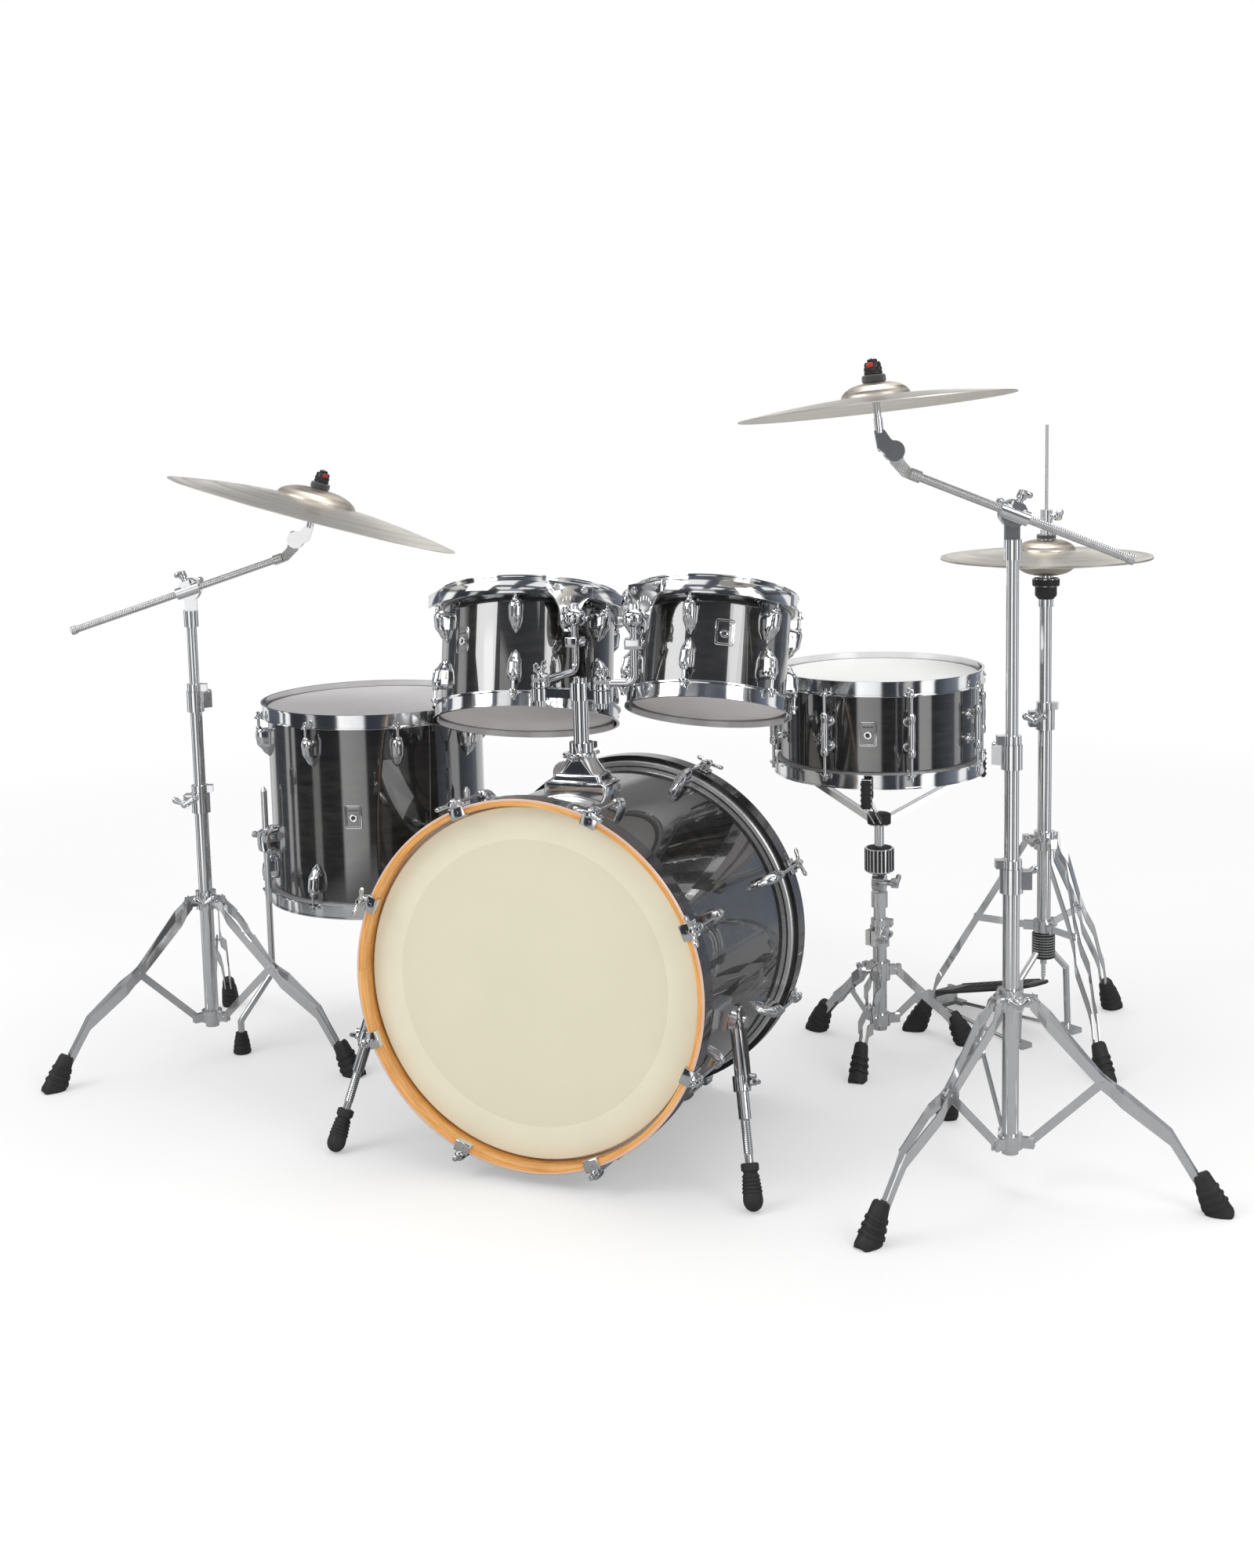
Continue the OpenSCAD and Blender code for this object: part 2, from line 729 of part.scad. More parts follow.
// Twenty wires between two end plates, under the bottom head
module snare_wires() {
    color([0.7, 0.71, 0.72]) in_snare() at_strainer() {
        for (s = [-1, 1]) translate([s * 150 - 7, -24, -2.6]) cube([14, 48, 1.2]);
        for (i = [-9:2:9]) translate([-143, i * 2.4, -2]) rotate([0, 90, 0])
            cylinder(r = 0.5, h = 286);
    }
}

// ---------------------------------------------------------------- tripods

// A flat bar on edge between two points of the XZ plane, drilled at the given distances
module flat_bar(p, q, w, t, side, holes) {
    v = q - p;
    difference() {
        translate([p.x, side, p.y]) rotate([0, -atan2(v.y, v.x), 0])
            translate([-w / 2, -t / 2, -w / 2]) cube([norm(v) + w, t, w]);
        for (d = holes) translate([p.x, side - t, p.y] + [v.x, 0, v.y] * d / norm(v))
            rotate([-90, 0, 0]) cylinder(r = 3.1, h = 2 * t);
    }
}

// A cross pin along Y
module pin(x, z, half) {
    translate([x, -half, z]) rotate([-90, 0, 0]) cylinder(r = 3, h = 2 * half);
}

// Side outline of a strip: its centre line widened by half its width, measured upright
function widened(line, half) = concat(
    [for (p = line) p + [0, half]], [for (i = [len(line) - 1:-1:0]) line[i] - [0, half]]);

// One strip of a leg: a bent outline seen from the side, bowed apart seen from above
module leg_strip(line, knee, s) {
    toe = line[len(line) - 1];
    bow = [
        [line[0].x - 12, 8], [line[0].x + 12, 8], [line[0].x + 26, 15], [knee.x - 12, 6.6],
        [knee.x + 12, 6.6], [knee.x + 30, 13], [toe.x - 22, 5.6], [toe.x + 12, 5.6]
    ];
    difference() {
        intersection() {
            rotate([90, 0, 0]) linear_extrude(50, center = true) polygon(widened(line, 11));
            linear_extrude(500) polygon(widened([for (p = bow) [p.x, s * p.y]], 1.2));
        }
        for (p = [line[0], knee]) translate([p.x, -30, p.y]) rotate([-90, 0, 0])
            cylinder(r = 3.1, h = 60);
    }
}

// Three legs of two strips each, their braces, and the two collars on the tube;
// size = [leg collar, brace collar, reach], bends = [knee, lower bend] in the leg's plane
module tripod(size, first, bends) {
    top = [31, size[0]];
    toe = [size[2] - 32, foot_h + 20];
    knee = bends[0];
    low = [29, size[1]];
    line = [top, knee, bends[1], toe];
    around(3, first) {
        for (s = [-1, 1]) leg_strip(line, knee, s);
        flat_bar(low, knee, 13, 3, 0, [0, norm(knee - low)]);
        pin(top.x, top.y, 11);
        pin(knee.x, knee.y, 9);
        pin(low.x, low.y, 7);
        difference() {
            translate([15, -6.2, size[0] - 9]) cube([25, 12.4, 18]);
            translate([top.x, 0, top.y]) rotate([90, 0, 0]) cylinder(r = 3.1, h = 40, center = true);
            cylinder_between(tube_a + 2, 0, size[0] + 30);
        }
        difference() {
            translate([15, -6, size[1] - 8]) cube([22, 12, 16]);
            translate([20, -1.9, size[1] - 10]) cube([30, 3.8, 20]);
            translate([low.x, 0, low.y]) rotate([90, 0, 0]) cylinder(r = 3.1, h = 40, center = true);
            cylinder_between(tube_a + 2, 0, size[1] + 30);
        }
    }
    translate([0, 0, size[0] - 17]) ring(collar_r, tube_a + 0.1, 34);
    translate([0, 0, size[1] - 11]) ring(collar_r, tube_a + 0.1, 22);
    rotate([0, 0, first + 60]) translate([collar_r - 3, 0, size[0]]) wing_bolt(11, 4, 40);
}

// A height clamp on top of a tube: body, two ears and a wing bolt; r_in is the tube inside it
module height_clamp(z, r_tube, r_in) {
    difference() {
        union() {
            cylinder_between(r_tube + 5, z - 20, z + 18);
            translate([r_tube, -11, z - 14]) cube([17, 22, 28]);
        }
        cylinder_between(r_tube - 0.5, z - 30, z - 0.5);
        cylinder_between(r_in + 0.4, z - 1, z + 30);
        translate([r_tube - 6, -1.2, z - 30]) cube([40, 2.4, 60]);
    }
    translate([r_tube + 11, 9, z]) rotate([0, 0, 90]) wing_bolt(10, 4, 46);
}

// A memory lock: a split ring on the inner tube, resting on the clamp below it
module memory_lock(z, r_in) {
    difference() {
        union() {
            cylinder_between(r_in + 5, z, z + 13);
            translate([r_in, -8, z]) cube([13, 16, 13]);
        }
        cylinder_between(r_in - 0.5, z - 5, z + 20);
    }
}

// A base tube with its tripod and top clamp
module stand_base(at, first, size, bends, top, clamp_turn) {
    color([0.84, 0.85, 0.87]) translate(at) {
        tripod(size, first, bends);
        translate([0, 0, size[1] - 20]) ring(tube_a, tube_b + fit, top - size[1] + 20);
        rotate([0, 0, clamp_turn]) height_clamp(top, tube_a, tube_b);
    }
}

// Rubber shoes on the tripods and under the floor tom's legs
module rubber_feet() {
    color([0.12, 0.13, 0.14]) {
        tripod_shoes(left_stand_at, boom_tripod[2], left_leg_turn);
        tripod_shoes(right_stand_at, boom_tripod[2], right_leg_turn);
        tripod_shoes(hihat_at, hihat_tripod_size[2], hihat_leg_turn);
        tripod_shoes(snare_at, snare_tripod_size[2], snare_leg_turn);
        for (a = leg_angles) translate(floor_tom_at) rotate([0, 0, a])
            translate([floor_tom_d / 2 + leg_out + leg_kink, 0, 0]) {
                cylinder(r1 = 17, r2 = 12, h = 34);
                translate([0, 0, 34]) ring(11, leg_r + 0.1, 6);
            }
    }
}

module tripod_shoes(at, reach, first) {
    translate(at) around(3, first) difference() {
        rotate([90, 0, 0]) linear_extrude(30, center = true) polygon([
            [reach - 36, 0], [reach + 4, 0], [reach + 18, 9], [reach + 14, 22],
            [reach - 14, 68], [reach - 44, 54], [reach - 42, 20]
        ]);
        for (s = [-1, 1]) translate([reach - 50, s * 5.6 - 1.8, foot_h - 4]) cube([52, 3.6, 60]);
    }
}

// ---------------------------------------------------------------- boom stands

// The frame of a boom: X along the rod, origin at the pivot. Mirrored on the right stand,
// so that -Y always faces the audience
module in_stand(at, boom, side) {
    translate(at) rotate([0, 0, boom[0]]) mirror([0, side < 0 ? 1 : 0, 0]) children();
}

module in_boom(at, boom, side) {
    in_stand(at, boom, side) translate([0, 0, boom[1]]) rotate([0, -boom[2], 0]) children();
}

// The frame of a cymbal tilter: origin at its hinge, Z along the cymbal's axis
module in_tilter(at, boom, side) {
    in_boom(at, boom, side) translate([0, -boom_side, 0]) rotate([boom[6], 0, 0])
        translate([boom[4] + tilter_fwd, 0, tilter_up]) rotate([0, boom[2] + boom[5], 0])
        children();
}

module mid_tube(at, boom, side) {
    color([0.84, 0.85, 0.87]) in_stand(at, boom, side) {
        translate([0, 0, 300]) ring(tube_b, tube_c + fit, mid_tube_top - 300);
        memory_lock(base_tube_top + 18.3, tube_b);
        rotate([0, 0, 35]) height_clamp(mid_tube_top, tube_b, tube_c);
    }
}

module upper_tube(at, boom, side) {
    top = boom[1] - knuckle_drop;
    color([0.84, 0.85, 0.87]) in_stand(at, boom, side) {
        translate([0, 0, 530]) ring(tube_c, tube_c - 1.5, top - 530);
        memory_lock(mid_tube_top + 18.3, tube_c);
        translate([0, 0, boom[1]]) {
            difference() {
                translate([0, 0, -knuckle_drop - 16]) cylinder(r = tube_c + 4, h = 30);
                translate([0, 0, -knuckle_drop - 30]) cylinder(r = tube_c - 0.5, h = 29.5);
            }
            difference() {
                union() {
                    translate([-11, 0.3, -knuckle_drop + 8]) cube([22, 11.7, knuckle_drop - 8]);
                    translate([0, 0.3, 0]) rotate([-90, 0, 0]) cylinder(r = 21, h = 11.7);
                }
                translate([0, -1, 0]) rotate([-90, 0, 0]) cylinder(r = 5.5, h = 40);
            }
        }
    }
}

// The boom's swivel: a disc against the knuckle, its bolt and wing nut, and the rod sleeve
module boom_clamp(at, boom, side) {
    color([0.84, 0.85, 0.87]) in_boom(at, boom, side) {
        difference() {
            union() {
                translate([0, -12, 0]) rotate([-90, 0, 0]) cylinder(r = 20, h = 11.7);
                translate([-22, -boom_side, 0]) rotate([0, 90, 0]) cylinder(r = 11, h = 44);
                translate([-9, -boom_side - 8, 6]) cube([18, 16, 12]);
            }
            translate([-60, -boom_side, 0]) rotate([0, 90, 0]) cylinder(r = boom_r + fit, h = 120);
            translate([-60, 0, -60]) cube([120, 40, 120]);
        }
        translate([0, -4, 0]) rotate([-90, 0, 0]) cylinder(r = 5.4, h = 26);
        translate([0, 16, 0]) rotate([0, 0, 90]) wing_bolt(6, 6, 50);
        translate([0, -boom_side, 14]) rotate([0, -90, 0]) wing_bolt(10, 4, 34);
    }
}

module boom_rod(at, boom, side) {
    color([0.86, 0.87, 0.89]) in_boom(at, boom, side) translate([0, -boom_side, 0]) {
        translate([-boom[3], 0, 0]) rotate([0, 90, 0]) cylinder(r = boom_r, h = boom[3] + boom[4]);
        translate([-boom[3] - 4, 0, 0]) rotate([0, 90, 0]) cylinder(r = 8, h = 10);
        translate([boom[4] - 8, 0, 0]) rotate([0, 90, 0]) cylinder(r = 9, h = 16);
        rotate([boom[6], 0, 0]) difference() {
            union() {
                translate([boom[4] + tilter_fwd, 0.3, tilter_up]) rotate([-90, 0, 0])
                    cylinder(r = 15, h = 9);
                translate([boom[4], 9.3, 0]) rotate([90, 0, 0]) linear_extrude(9) polygon([
                    [-4, -8], [16, -8], [40, 4], [46, 14], [36, 30], [22, 14], [10, 8], [-4, 8]
                ]);
            }
            translate([boom[4] + tilter_fwd, -1, tilter_up]) rotate([-90, 0, 0])
                cylinder(r = 5.5, h = 30);
        }
    }
}

// Tilting half: ratchet disc, curved neck, seat and the threaded cymbal rod
module tilter(at, boom, side) {
    color([0.84, 0.85, 0.87]) in_tilter(at, boom, side) {
        translate([0, -10, 0]) rotate([-90, 0, 0]) cylinder(r = 15, h = 9.7);
        translate([0, -9, 0]) rotate([-90, 0, 0]) cylinder(r = 5.4, h = 26);
        translate([0, 14, 0]) rotate([0, 0, 90]) wing_bolt(5, 5.6, 38);
        translate([0, -0.3, 0]) rotate([90, 0, 0]) linear_extrude(9.7) polygon([
            [-8, 6], [10, -8], [24, 6], [26, 32], [12, 32], [4, 18]
        ]);
        translate([cymbal_axis, -5, 28]) cylinder(r = 6.6, h = 22);
        translate([cymbal_axis, -5, 48]) cylinder(r = 3, h = 89);
    }
}

// Sleeve with its seat, lower felt, upper felt and the quick-release nut
module felts(at, boom, side) {
    color([0.15, 0.15, 0.16]) in_tilter(at, boom, side) translate([cymbal_axis, -5, 0]) {
        translate([0, 0, 50.2]) ring(5.5, 3.05, 60);
        translate([0, 0, 82]) ring(13, 5.6, 3);
        translate([0, 0, 85.2]) ring(12, 5.6, bell_top_z - cymbal_t - 85.6);
        translate([0, 0, bell_top_z + 0.4]) ring(17.5, 5.6, 15);
        difference() {
            translate([0, 0, bell_top_z + 15.6]) cylinder(r = 13, h = 15);
            translate([0, 0, bell_top_z]) cylinder(r = 3.05, h = 60);
            translate([0, 0, bell_top_z]) cylinder(r = 5.6, h = 15.61);
        }
    }
}

// A cymbal turned from one profile: z = 0 at the edge, a shallow bow, a bell with a flat crown
module cymbal_disc(r, bell_r, bow, h, hole) {
    flat = 15;
    edge_z = bow * (1 - pow(bell_r / r, 2));
    bow_pts = [for (i = [0:12]) let (x = r - (r - bell_r) * i / 12)
        [x, bow * (1 - pow(x / r, 2)) + 0.2]];
    bell_pts = [for (i = [1:7]) let (a = 90 * i / 7)
        [flat + (bell_r - flat) * cos(a), edge_z + (h - edge_z) * pow(sin(a), 1.15)]];
    top = concat(bow_pts, bell_pts, [[hole, h]]);
    under = [for (i = [len(top) - 1:-1:0]) [top[i].x, top[i].y - cymbal_t]];
    rotate_extrude() polygon(concat(top, under));
}

module cymbal_on(at, boom, side, r, bell_r, bow, h) {
    color([0.86, 0.8, 0.66]) in_tilter(at, boom, side)
        translate([cymbal_axis, -5, bell_top_z - h]) cymbal_disc(r, bell_r, bow, h, 6);
}

module left_stand_tripod() {
    stand_base(left_stand_at, left_leg_turn, boom_tripod, boom_bends, base_tube_top, 200);
}

module left_mid_tube() {
    mid_tube(left_stand_at, left_boom, 1);
}

module left_upper_tube() {
    upper_tube(left_stand_at, left_boom, 1);
}

module left_boom_clamp() {
    boom_clamp(left_stand_at, left_boom, 1);
}

module left_boom_rod() {
    boom_rod(left_stand_at, left_boom, 1);
}

module left_tilter() {
    tilter(left_stand_at, left_boom, 1);
}

module left_felts() {
    felts(left_stand_at, left_boom, 1);
}

module ride_cymbal() {
    cymbal_on(left_stand_at, left_boom, 1, ride_d / 2, 73, 26.5, 48);
}

module right_stand_tripod() {
    stand_base(right_stand_at, right_leg_turn, boom_tripod, boom_bends, base_tube_top, 20);
}

module right_mid_tube() {
    mid_tube(right_stand_at, right_boom, -1);
}

module right_upper_tube() {
    upper_tube(right_stand_at, right_boom, -1);
}

module right_boom_clamp() {
    boom_clamp(right_stand_at, right_boom, -1);
}

module right_boom_rod() {
    boom_rod(right_stand_at, right_boom, -1);
}

module right_tilter() {
    tilter(right_stand_at, right_boom, -1);
}

module right_felts() {
    felts(right_stand_at, right_boom, -1);
}

module crash_cymbal() {
    cymbal_on(right_stand_at, right_boom, -1, crash_d / 2, 51, 16, 35);
}

// ---------------------------------------------------------------- hi-hat

// Tripod, lower tube, spring housing, arch frame, heel plate and radius rods
module hihat_tripod() {
    stand_base(hihat_at, hihat_leg_turn, hihat_tripod_size, hihat_bends, hihat_clamp_z, 200);
    color([0.2, 0.2, 0.21]) translate(hihat_at) {
        translate([0, 0, 160]) ring(21, 7, 45);
        rotate([0, 0, pedal_turn]) {
            for (s = [-1, 1]) {
                bar([0, s * 19, 168], [0, s * 62, 126], 6);
                translate([0, s * 62, 126]) sphere(r = 6.02);
                bar([0, s * 62, 126], [0, s * 68, 10], 6);
                translate([-24, s * 68 - 13, 0]) cube([48, 26, 9]);
                bar([22, s * 68, 5], [pedal_heel - 30, s * 26, 5], 3.5);
            }
            difference() {
                translate([pedal_heel - 34, -36, 0]) cube([72, 72, 8]);
                translate([pedal_heel - 60, -20, -1]) cube([42, 40, 20]);
            }
            for (s = [-1, 1]) difference() {
                translate([pedal_heel - 10, s * 29 - 4, 7]) cube([20, 8, 26]);
                translate([pedal_heel, s * 29, pedal_heel_z]) rotate([90, 0, 0])
                    cylinder(r = 4 + fit, h = 20, center = true);
            }
        }
    }
}

// Upper tube with the cup seat for the bottom cymbal
module hihat_tube() {
    color([0.84, 0.85, 0.87]) translate(hihat_at) {
        translate([0, 0, 440]) ring(tube_b, 8, hihat_seat_z - 8 - 440);
        memory_lock(hihat_clamp_z + 18.3, tube_b);
        difference() {
            union() {
                cylinder_between(13.5, hihat_seat_z - 8, hihat_seat_z + 14);
                cylinder_between(19, hihat_seat_z + 14, hihat_seat_z + 30);
                cylinder_between(24, hihat_seat_z + 30, hihat_seat_z + 44);
                translate([0, 18, hihat_seat_z + 22]) rotate([-90, 0, 0]) cylinder(r = 3, h = 14);
            }
            cylinder_between(pull_rod_r + 0.4, 0, 1000);
        }
        translate([0, 0, hihat_seat_z + 44])
            ring(13, 5, hat_plane - cymbal_t - hat_h - 0.4 - hihat_seat_z - 44);
    }
}

module hihat_cymbal_bottom() {
    color([0.86, 0.8, 0.66]) translate(hihat_at) translate([0, 0, hat_plane - cymbal_t])
        rotate([180, 0, 0]) cymbal_disc(hat_d / 2, 53, 13, hat_h, 6);
}

module hihat_cymbal_top() {
    color([0.86, 0.8, 0.66]) translate(hihat_at) translate([0, 0, hat_plane + cymbal_t])
        cymbal_disc(hat_d / 2, 53, 13, hat_h, 8);
}

// Pull rod with the clutch on it and the strap that runs down to the footboard
module hihat_rod() {
    color([0.86, 0.87, 0.89]) translate(hihat_at) {
        translate([0, 0, hat_crown - cymbal_t - 11]) ring(11, 3, 10.6);
        translate([0, 0, hat_crown - cymbal_t - 2]) ring(7.2, 3, cymbal_t + 40);
        translate([0, 0, hat_crown + 0.4]) ring(17, 7, 9);
        translate([0, 0, hat_crown + 9.4]) ring(11, 7, 8);
        translate([0, 0, hat_crown + 30]) ring(11, 3, 24);
        translate([9, 0, hat_crown + 42]) wing_bolt(6, 3.5, 32);
        translate([0, 0, 150]) cylinder(r = pull_rod_r, h = 1151 - 150);
        translate([-2, -5.5, 116]) cube([4, 11, 30]);
        translate([0, 0, 145]) cylinder(r = 6, h = 12);
    }
}

// The footboard turns on the heel's pin and reaches under the pull rod
module hihat_footboard() {
    color([0.14, 0.14, 0.15]) translate(hihat_at) rotate([0, 0, pedal_turn])
        translate([pedal_heel, 0, pedal_heel_z]) {
            rotate([90, 0, 0]) cylinder(r = 4, h = 66, center = true);
            rotate([0, pedal_rise, 0]) difference() {
                union() {
                    translate([-pedal_board, -42, 4]) cube([pedal_board - 18, 84, 6]);
                    translate([-22, -24, 0]) cube([22, 48, 10]);
                }
                translate([-pedal_board - 1, -60, 0]) rotate([0, 0, -14]) cube([80, 26, 40]);
                translate([-pedal_board - 1, 60, 0]) rotate([0, 0, 14]) translate([0, -26, 0])
                    cube([80, 26, 40]);
            }
        }
}

// ---------------------------------------------------------------- snare stand

module snare_stand_tripod() {
    stand_base(snare_at, snare_leg_turn, snare_tripod_size, snare_bends, 222, 250);
}

// Sliding tube with the fixed half of the basket's tilter
module snare_stand_tube() {
    color([0.84, 0.85, 0.87]) translate(snare_at) {
        translate([0, 0, 90]) ring(tube_b, tube_b - 2, 200);
        memory_lock(222 + 18.3, tube_b);
        difference() {
            cylinder_between(tube_b + 4, 276, 304);
            cylinder_between(tube_b - 0.5, 270, 289.5);
        }
        translate([0.3, -9, 302]) cube([11, 18, 12]);
        difference() {
            translate([0.3, 0, basket_hinge_z]) rotate([0, 90, 0]) cylinder(r = 16, h = 11);
            translate([-1, 0, basket_hinge_z]) rotate([0, 90, 0]) cylinder(r = 5.1, h = 30);
        }
    }
}

// Tilting half, screw, black adjusting nut, hub and three double-strut arms with grips
module snare_basket() {
    grip_r = snare_d / 2 + 20;
    rest_z = snare_rim - 2 * rim_up - snare_depth - 0.4;
    color([0.84, 0.85, 0.87]) translate(snare_at) {
        translate([-11, 0, basket_hinge_z]) rotate([0, 90, 0]) cylinder(r = 16, h = 10.7);
        translate([-10, 0, basket_hinge_z]) rotate([0, 90, 0]) cylinder(r = 5, h = 34);
        translate([18, 0, basket_hinge_z]) wing_bolt(5, 5.4, 42);
        translate([-11, -9, basket_hinge_z]) cube([10.7, 18, 26]);
        cylinder_between(9, basket_hinge_z + 22, basket_z - 6);
        cylinder_between(26, basket_z - 96, basket_z - 52);
        cylinder_between(21, basket_z - 8, basket_z + 10);
        for (a = basket_arms) rotate([0, 0, a]) {
            for (s = [-1, 1]) flat_bar([18, basket_z], [grip_r + 6, rest_z - 16], 11, 2.4, s * 6, []);
            translate([grip_r - 16, -9, rest_z - 14]) cube([20, 18, 14]);
            translate([grip_r + 3.5, -9, rest_z - 30]) cube([10, 18, 52]);
        }
    }
}

bass_shell();
bass_hoop_front();
bass_hoop_rear();
bass_heads();
bass_lugs();
bass_claws();
spur_brackets();
spur_left();
spur_right();
spur_left_foot();
spur_right_foot();
tom_mount_base();
tom_post();
tom_left_arm();
tom_right_arm();
tom_left_shell();
tom_left_hoops();
tom_left_heads();
tom_left_hardware();
tom_right_shell();
tom_right_hoops();
tom_right_heads();
tom_right_hardware();
floor_tom_shell();
floor_tom_hoops();
floor_tom_heads();
floor_tom_hardware();
floor_tom_legs();
snare_shell();
snare_hoops();
snare_heads();
snare_hardware();
snare_wires();
strainer_lever();
snare_stand_tripod();
snare_stand_tube();
snare_basket();
rubber_feet();
left_stand_tripod();
left_mid_tube();
left_upper_tube();
left_boom_clamp();
left_boom_rod();
left_tilter();
left_felts();
ride_cymbal();
right_stand_tripod();
right_mid_tube();
right_upper_tube();
right_boom_clamp();
right_boom_rod();
right_tilter();
right_felts();
crash_cymbal();
hihat_tripod();
hihat_tube();
hihat_cymbal_bottom();
hihat_rod();
hihat_cymbal_top();
hihat_footboard();
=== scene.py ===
"""Looks of the acoustic drum kit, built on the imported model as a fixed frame."""
import math

import bmesh
import bpy
from mathutils import Matrix, Vector


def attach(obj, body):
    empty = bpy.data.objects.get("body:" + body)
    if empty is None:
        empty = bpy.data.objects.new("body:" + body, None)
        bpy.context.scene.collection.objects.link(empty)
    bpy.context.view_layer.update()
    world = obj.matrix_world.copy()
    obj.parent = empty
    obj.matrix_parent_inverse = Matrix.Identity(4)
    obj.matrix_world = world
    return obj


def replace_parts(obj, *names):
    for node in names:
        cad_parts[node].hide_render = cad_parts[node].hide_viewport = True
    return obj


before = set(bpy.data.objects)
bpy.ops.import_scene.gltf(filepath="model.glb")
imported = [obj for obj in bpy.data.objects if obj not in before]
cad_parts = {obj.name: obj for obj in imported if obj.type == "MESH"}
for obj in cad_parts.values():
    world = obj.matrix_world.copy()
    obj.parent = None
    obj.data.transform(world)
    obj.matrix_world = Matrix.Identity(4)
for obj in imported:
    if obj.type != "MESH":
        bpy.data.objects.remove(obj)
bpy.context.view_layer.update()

MM = 0.001


# ---- places (mm), as in the CAD


def turn(angle, axis):
    return Matrix.Rotation(math.radians(angle), 4, axis)


def move(x, y, z):
    return Matrix.Translation((x, y, z))


BASS_R = 279.4
HOOP_IN = BASS_R + 6.1
HOOP_OUT = HOOP_IN + 12
EDGE_IN = 28
BASS_DEPTH = 457.2
BASS_LEN = BASS_DEPTH + 2 * EDGE_IN
TILT = 2.4
BASS_X = -3
BASS_Y = -566
BASS_Z = HOOP_OUT * math.cos(math.radians(TILT)) + BASS_LEN * math.sin(math.radians(TILT))
CLAW_ROD = HOOP_OUT + 9
RIM_UP = 12
HOOP_FOOT = -14
EAR_AT = 19
LUG_TOP = -34

in_bass = move(BASS_X, BASS_Y, BASS_Z) @ turn(90 - TILT, "X")
front_end = in_bass @ move(0, 0, -EDGE_IN)
rear_end = in_bass @ move(0, 0, EDGE_IN - BASS_LEN) @ turn(180, "Y")


def in_tom(rim, tilt, toward, spin, depth):
    place = move(*rim) @ turn(toward, "Z") @ turn(tilt, "Y") @ turn(spin - toward, "Z")
    return place @ move(0, 0, -RIM_UP - depth)


def ends(place, depth):
    return [place @ move(0, 0, depth), place @ turn(180, "X")]


TOMS = {
    "tom_left": dict(place=in_tom((-212, -55, 869), 19.8, 106.1, -43, 203.2), r=152.4, depth=203.2),
    "tom_right": dict(place=in_tom((170, -134, 890), 20.4, 95.6, -117, 177.8), r=127, depth=177.8),
}
for tom in TOMS.values():
    tom["ball"] = tom["place"] @ Vector((tom["r"] + 52, 0, RIM_UP + tom["depth"] - 78))

FLOOR_AT = (-585, 33, 0)
FLOOR_R = 203.2
FLOOR_DEPTH = 355.6
FLOOR_RIM = 660
FLOOR_FIRST = -50.6
in_floor = move(FLOOR_AT[0], FLOOR_AT[1], FLOOR_RIM - RIM_UP - FLOOR_DEPTH)

SNARE_AT = (354, 218, 0)
SNARE_R = 177.8
SNARE_DEPTH = 165.1
SNARE_RIM = 724
SNARE_FIRST = -103.3
in_snare = move(SNARE_AT[0], SNARE_AT[1], SNARE_RIM - RIM_UP - SNARE_DEPTH)
in_strainer = in_snare @ turn(SNARE_FIRST - 67.5, "Z")

POST_Y = BASS_Y + 240
LEG_ANGLES = (-134, -14, 106)
HIHAT_AT = (625, 384, 0)
HAT_PLANE = 910.5
HAT_H = 31
CYMBAL_T = 1.6
HAT_CROWN = HAT_PLANE + CYMBAL_T + HAT_H
# spin: way the boom points; height: of its swivel; lift: its slope; reach: from swivel to tilter;
# tip: the cymbal's own lean; roll: the rod turned about itself
STANDS = {
    "left": dict(at=(-830, -202, 0), side=1, spin=22.5, height=886, lift=17.8, reach=218,
                 tip=16.4, roll=-4),
    "right": dict(at=(708, -339, 0), side=-1, spin=202.5, height=1043, lift=22.3, reach=200,
                  tip=5, roll=-4.5),
}
for stand in STANDS.values():
    place = move(*stand["at"]) @ turn(stand["spin"], "Z")
    if stand["side"] < 0:
        place = place @ Matrix.Diagonal((1, -1, 1, 1))
    stand["place"] = place
    stand["in_boom"] = place @ move(0, 0, stand["height"]) @ turn(-stand["lift"], "Y")
    hinge = (stand["in_boom"] @ move(0, -12, 0) @ turn(stand["roll"], "X")
             @ move(stand["reach"], 0, 22))
    stand["tilter"] = hinge @ turn(stand["lift"] + stand["tip"], "Y")
    stand["cymbal"] = stand["tilter"] @ move(19, -5, 0)


# ---- mesh helpers (mm)


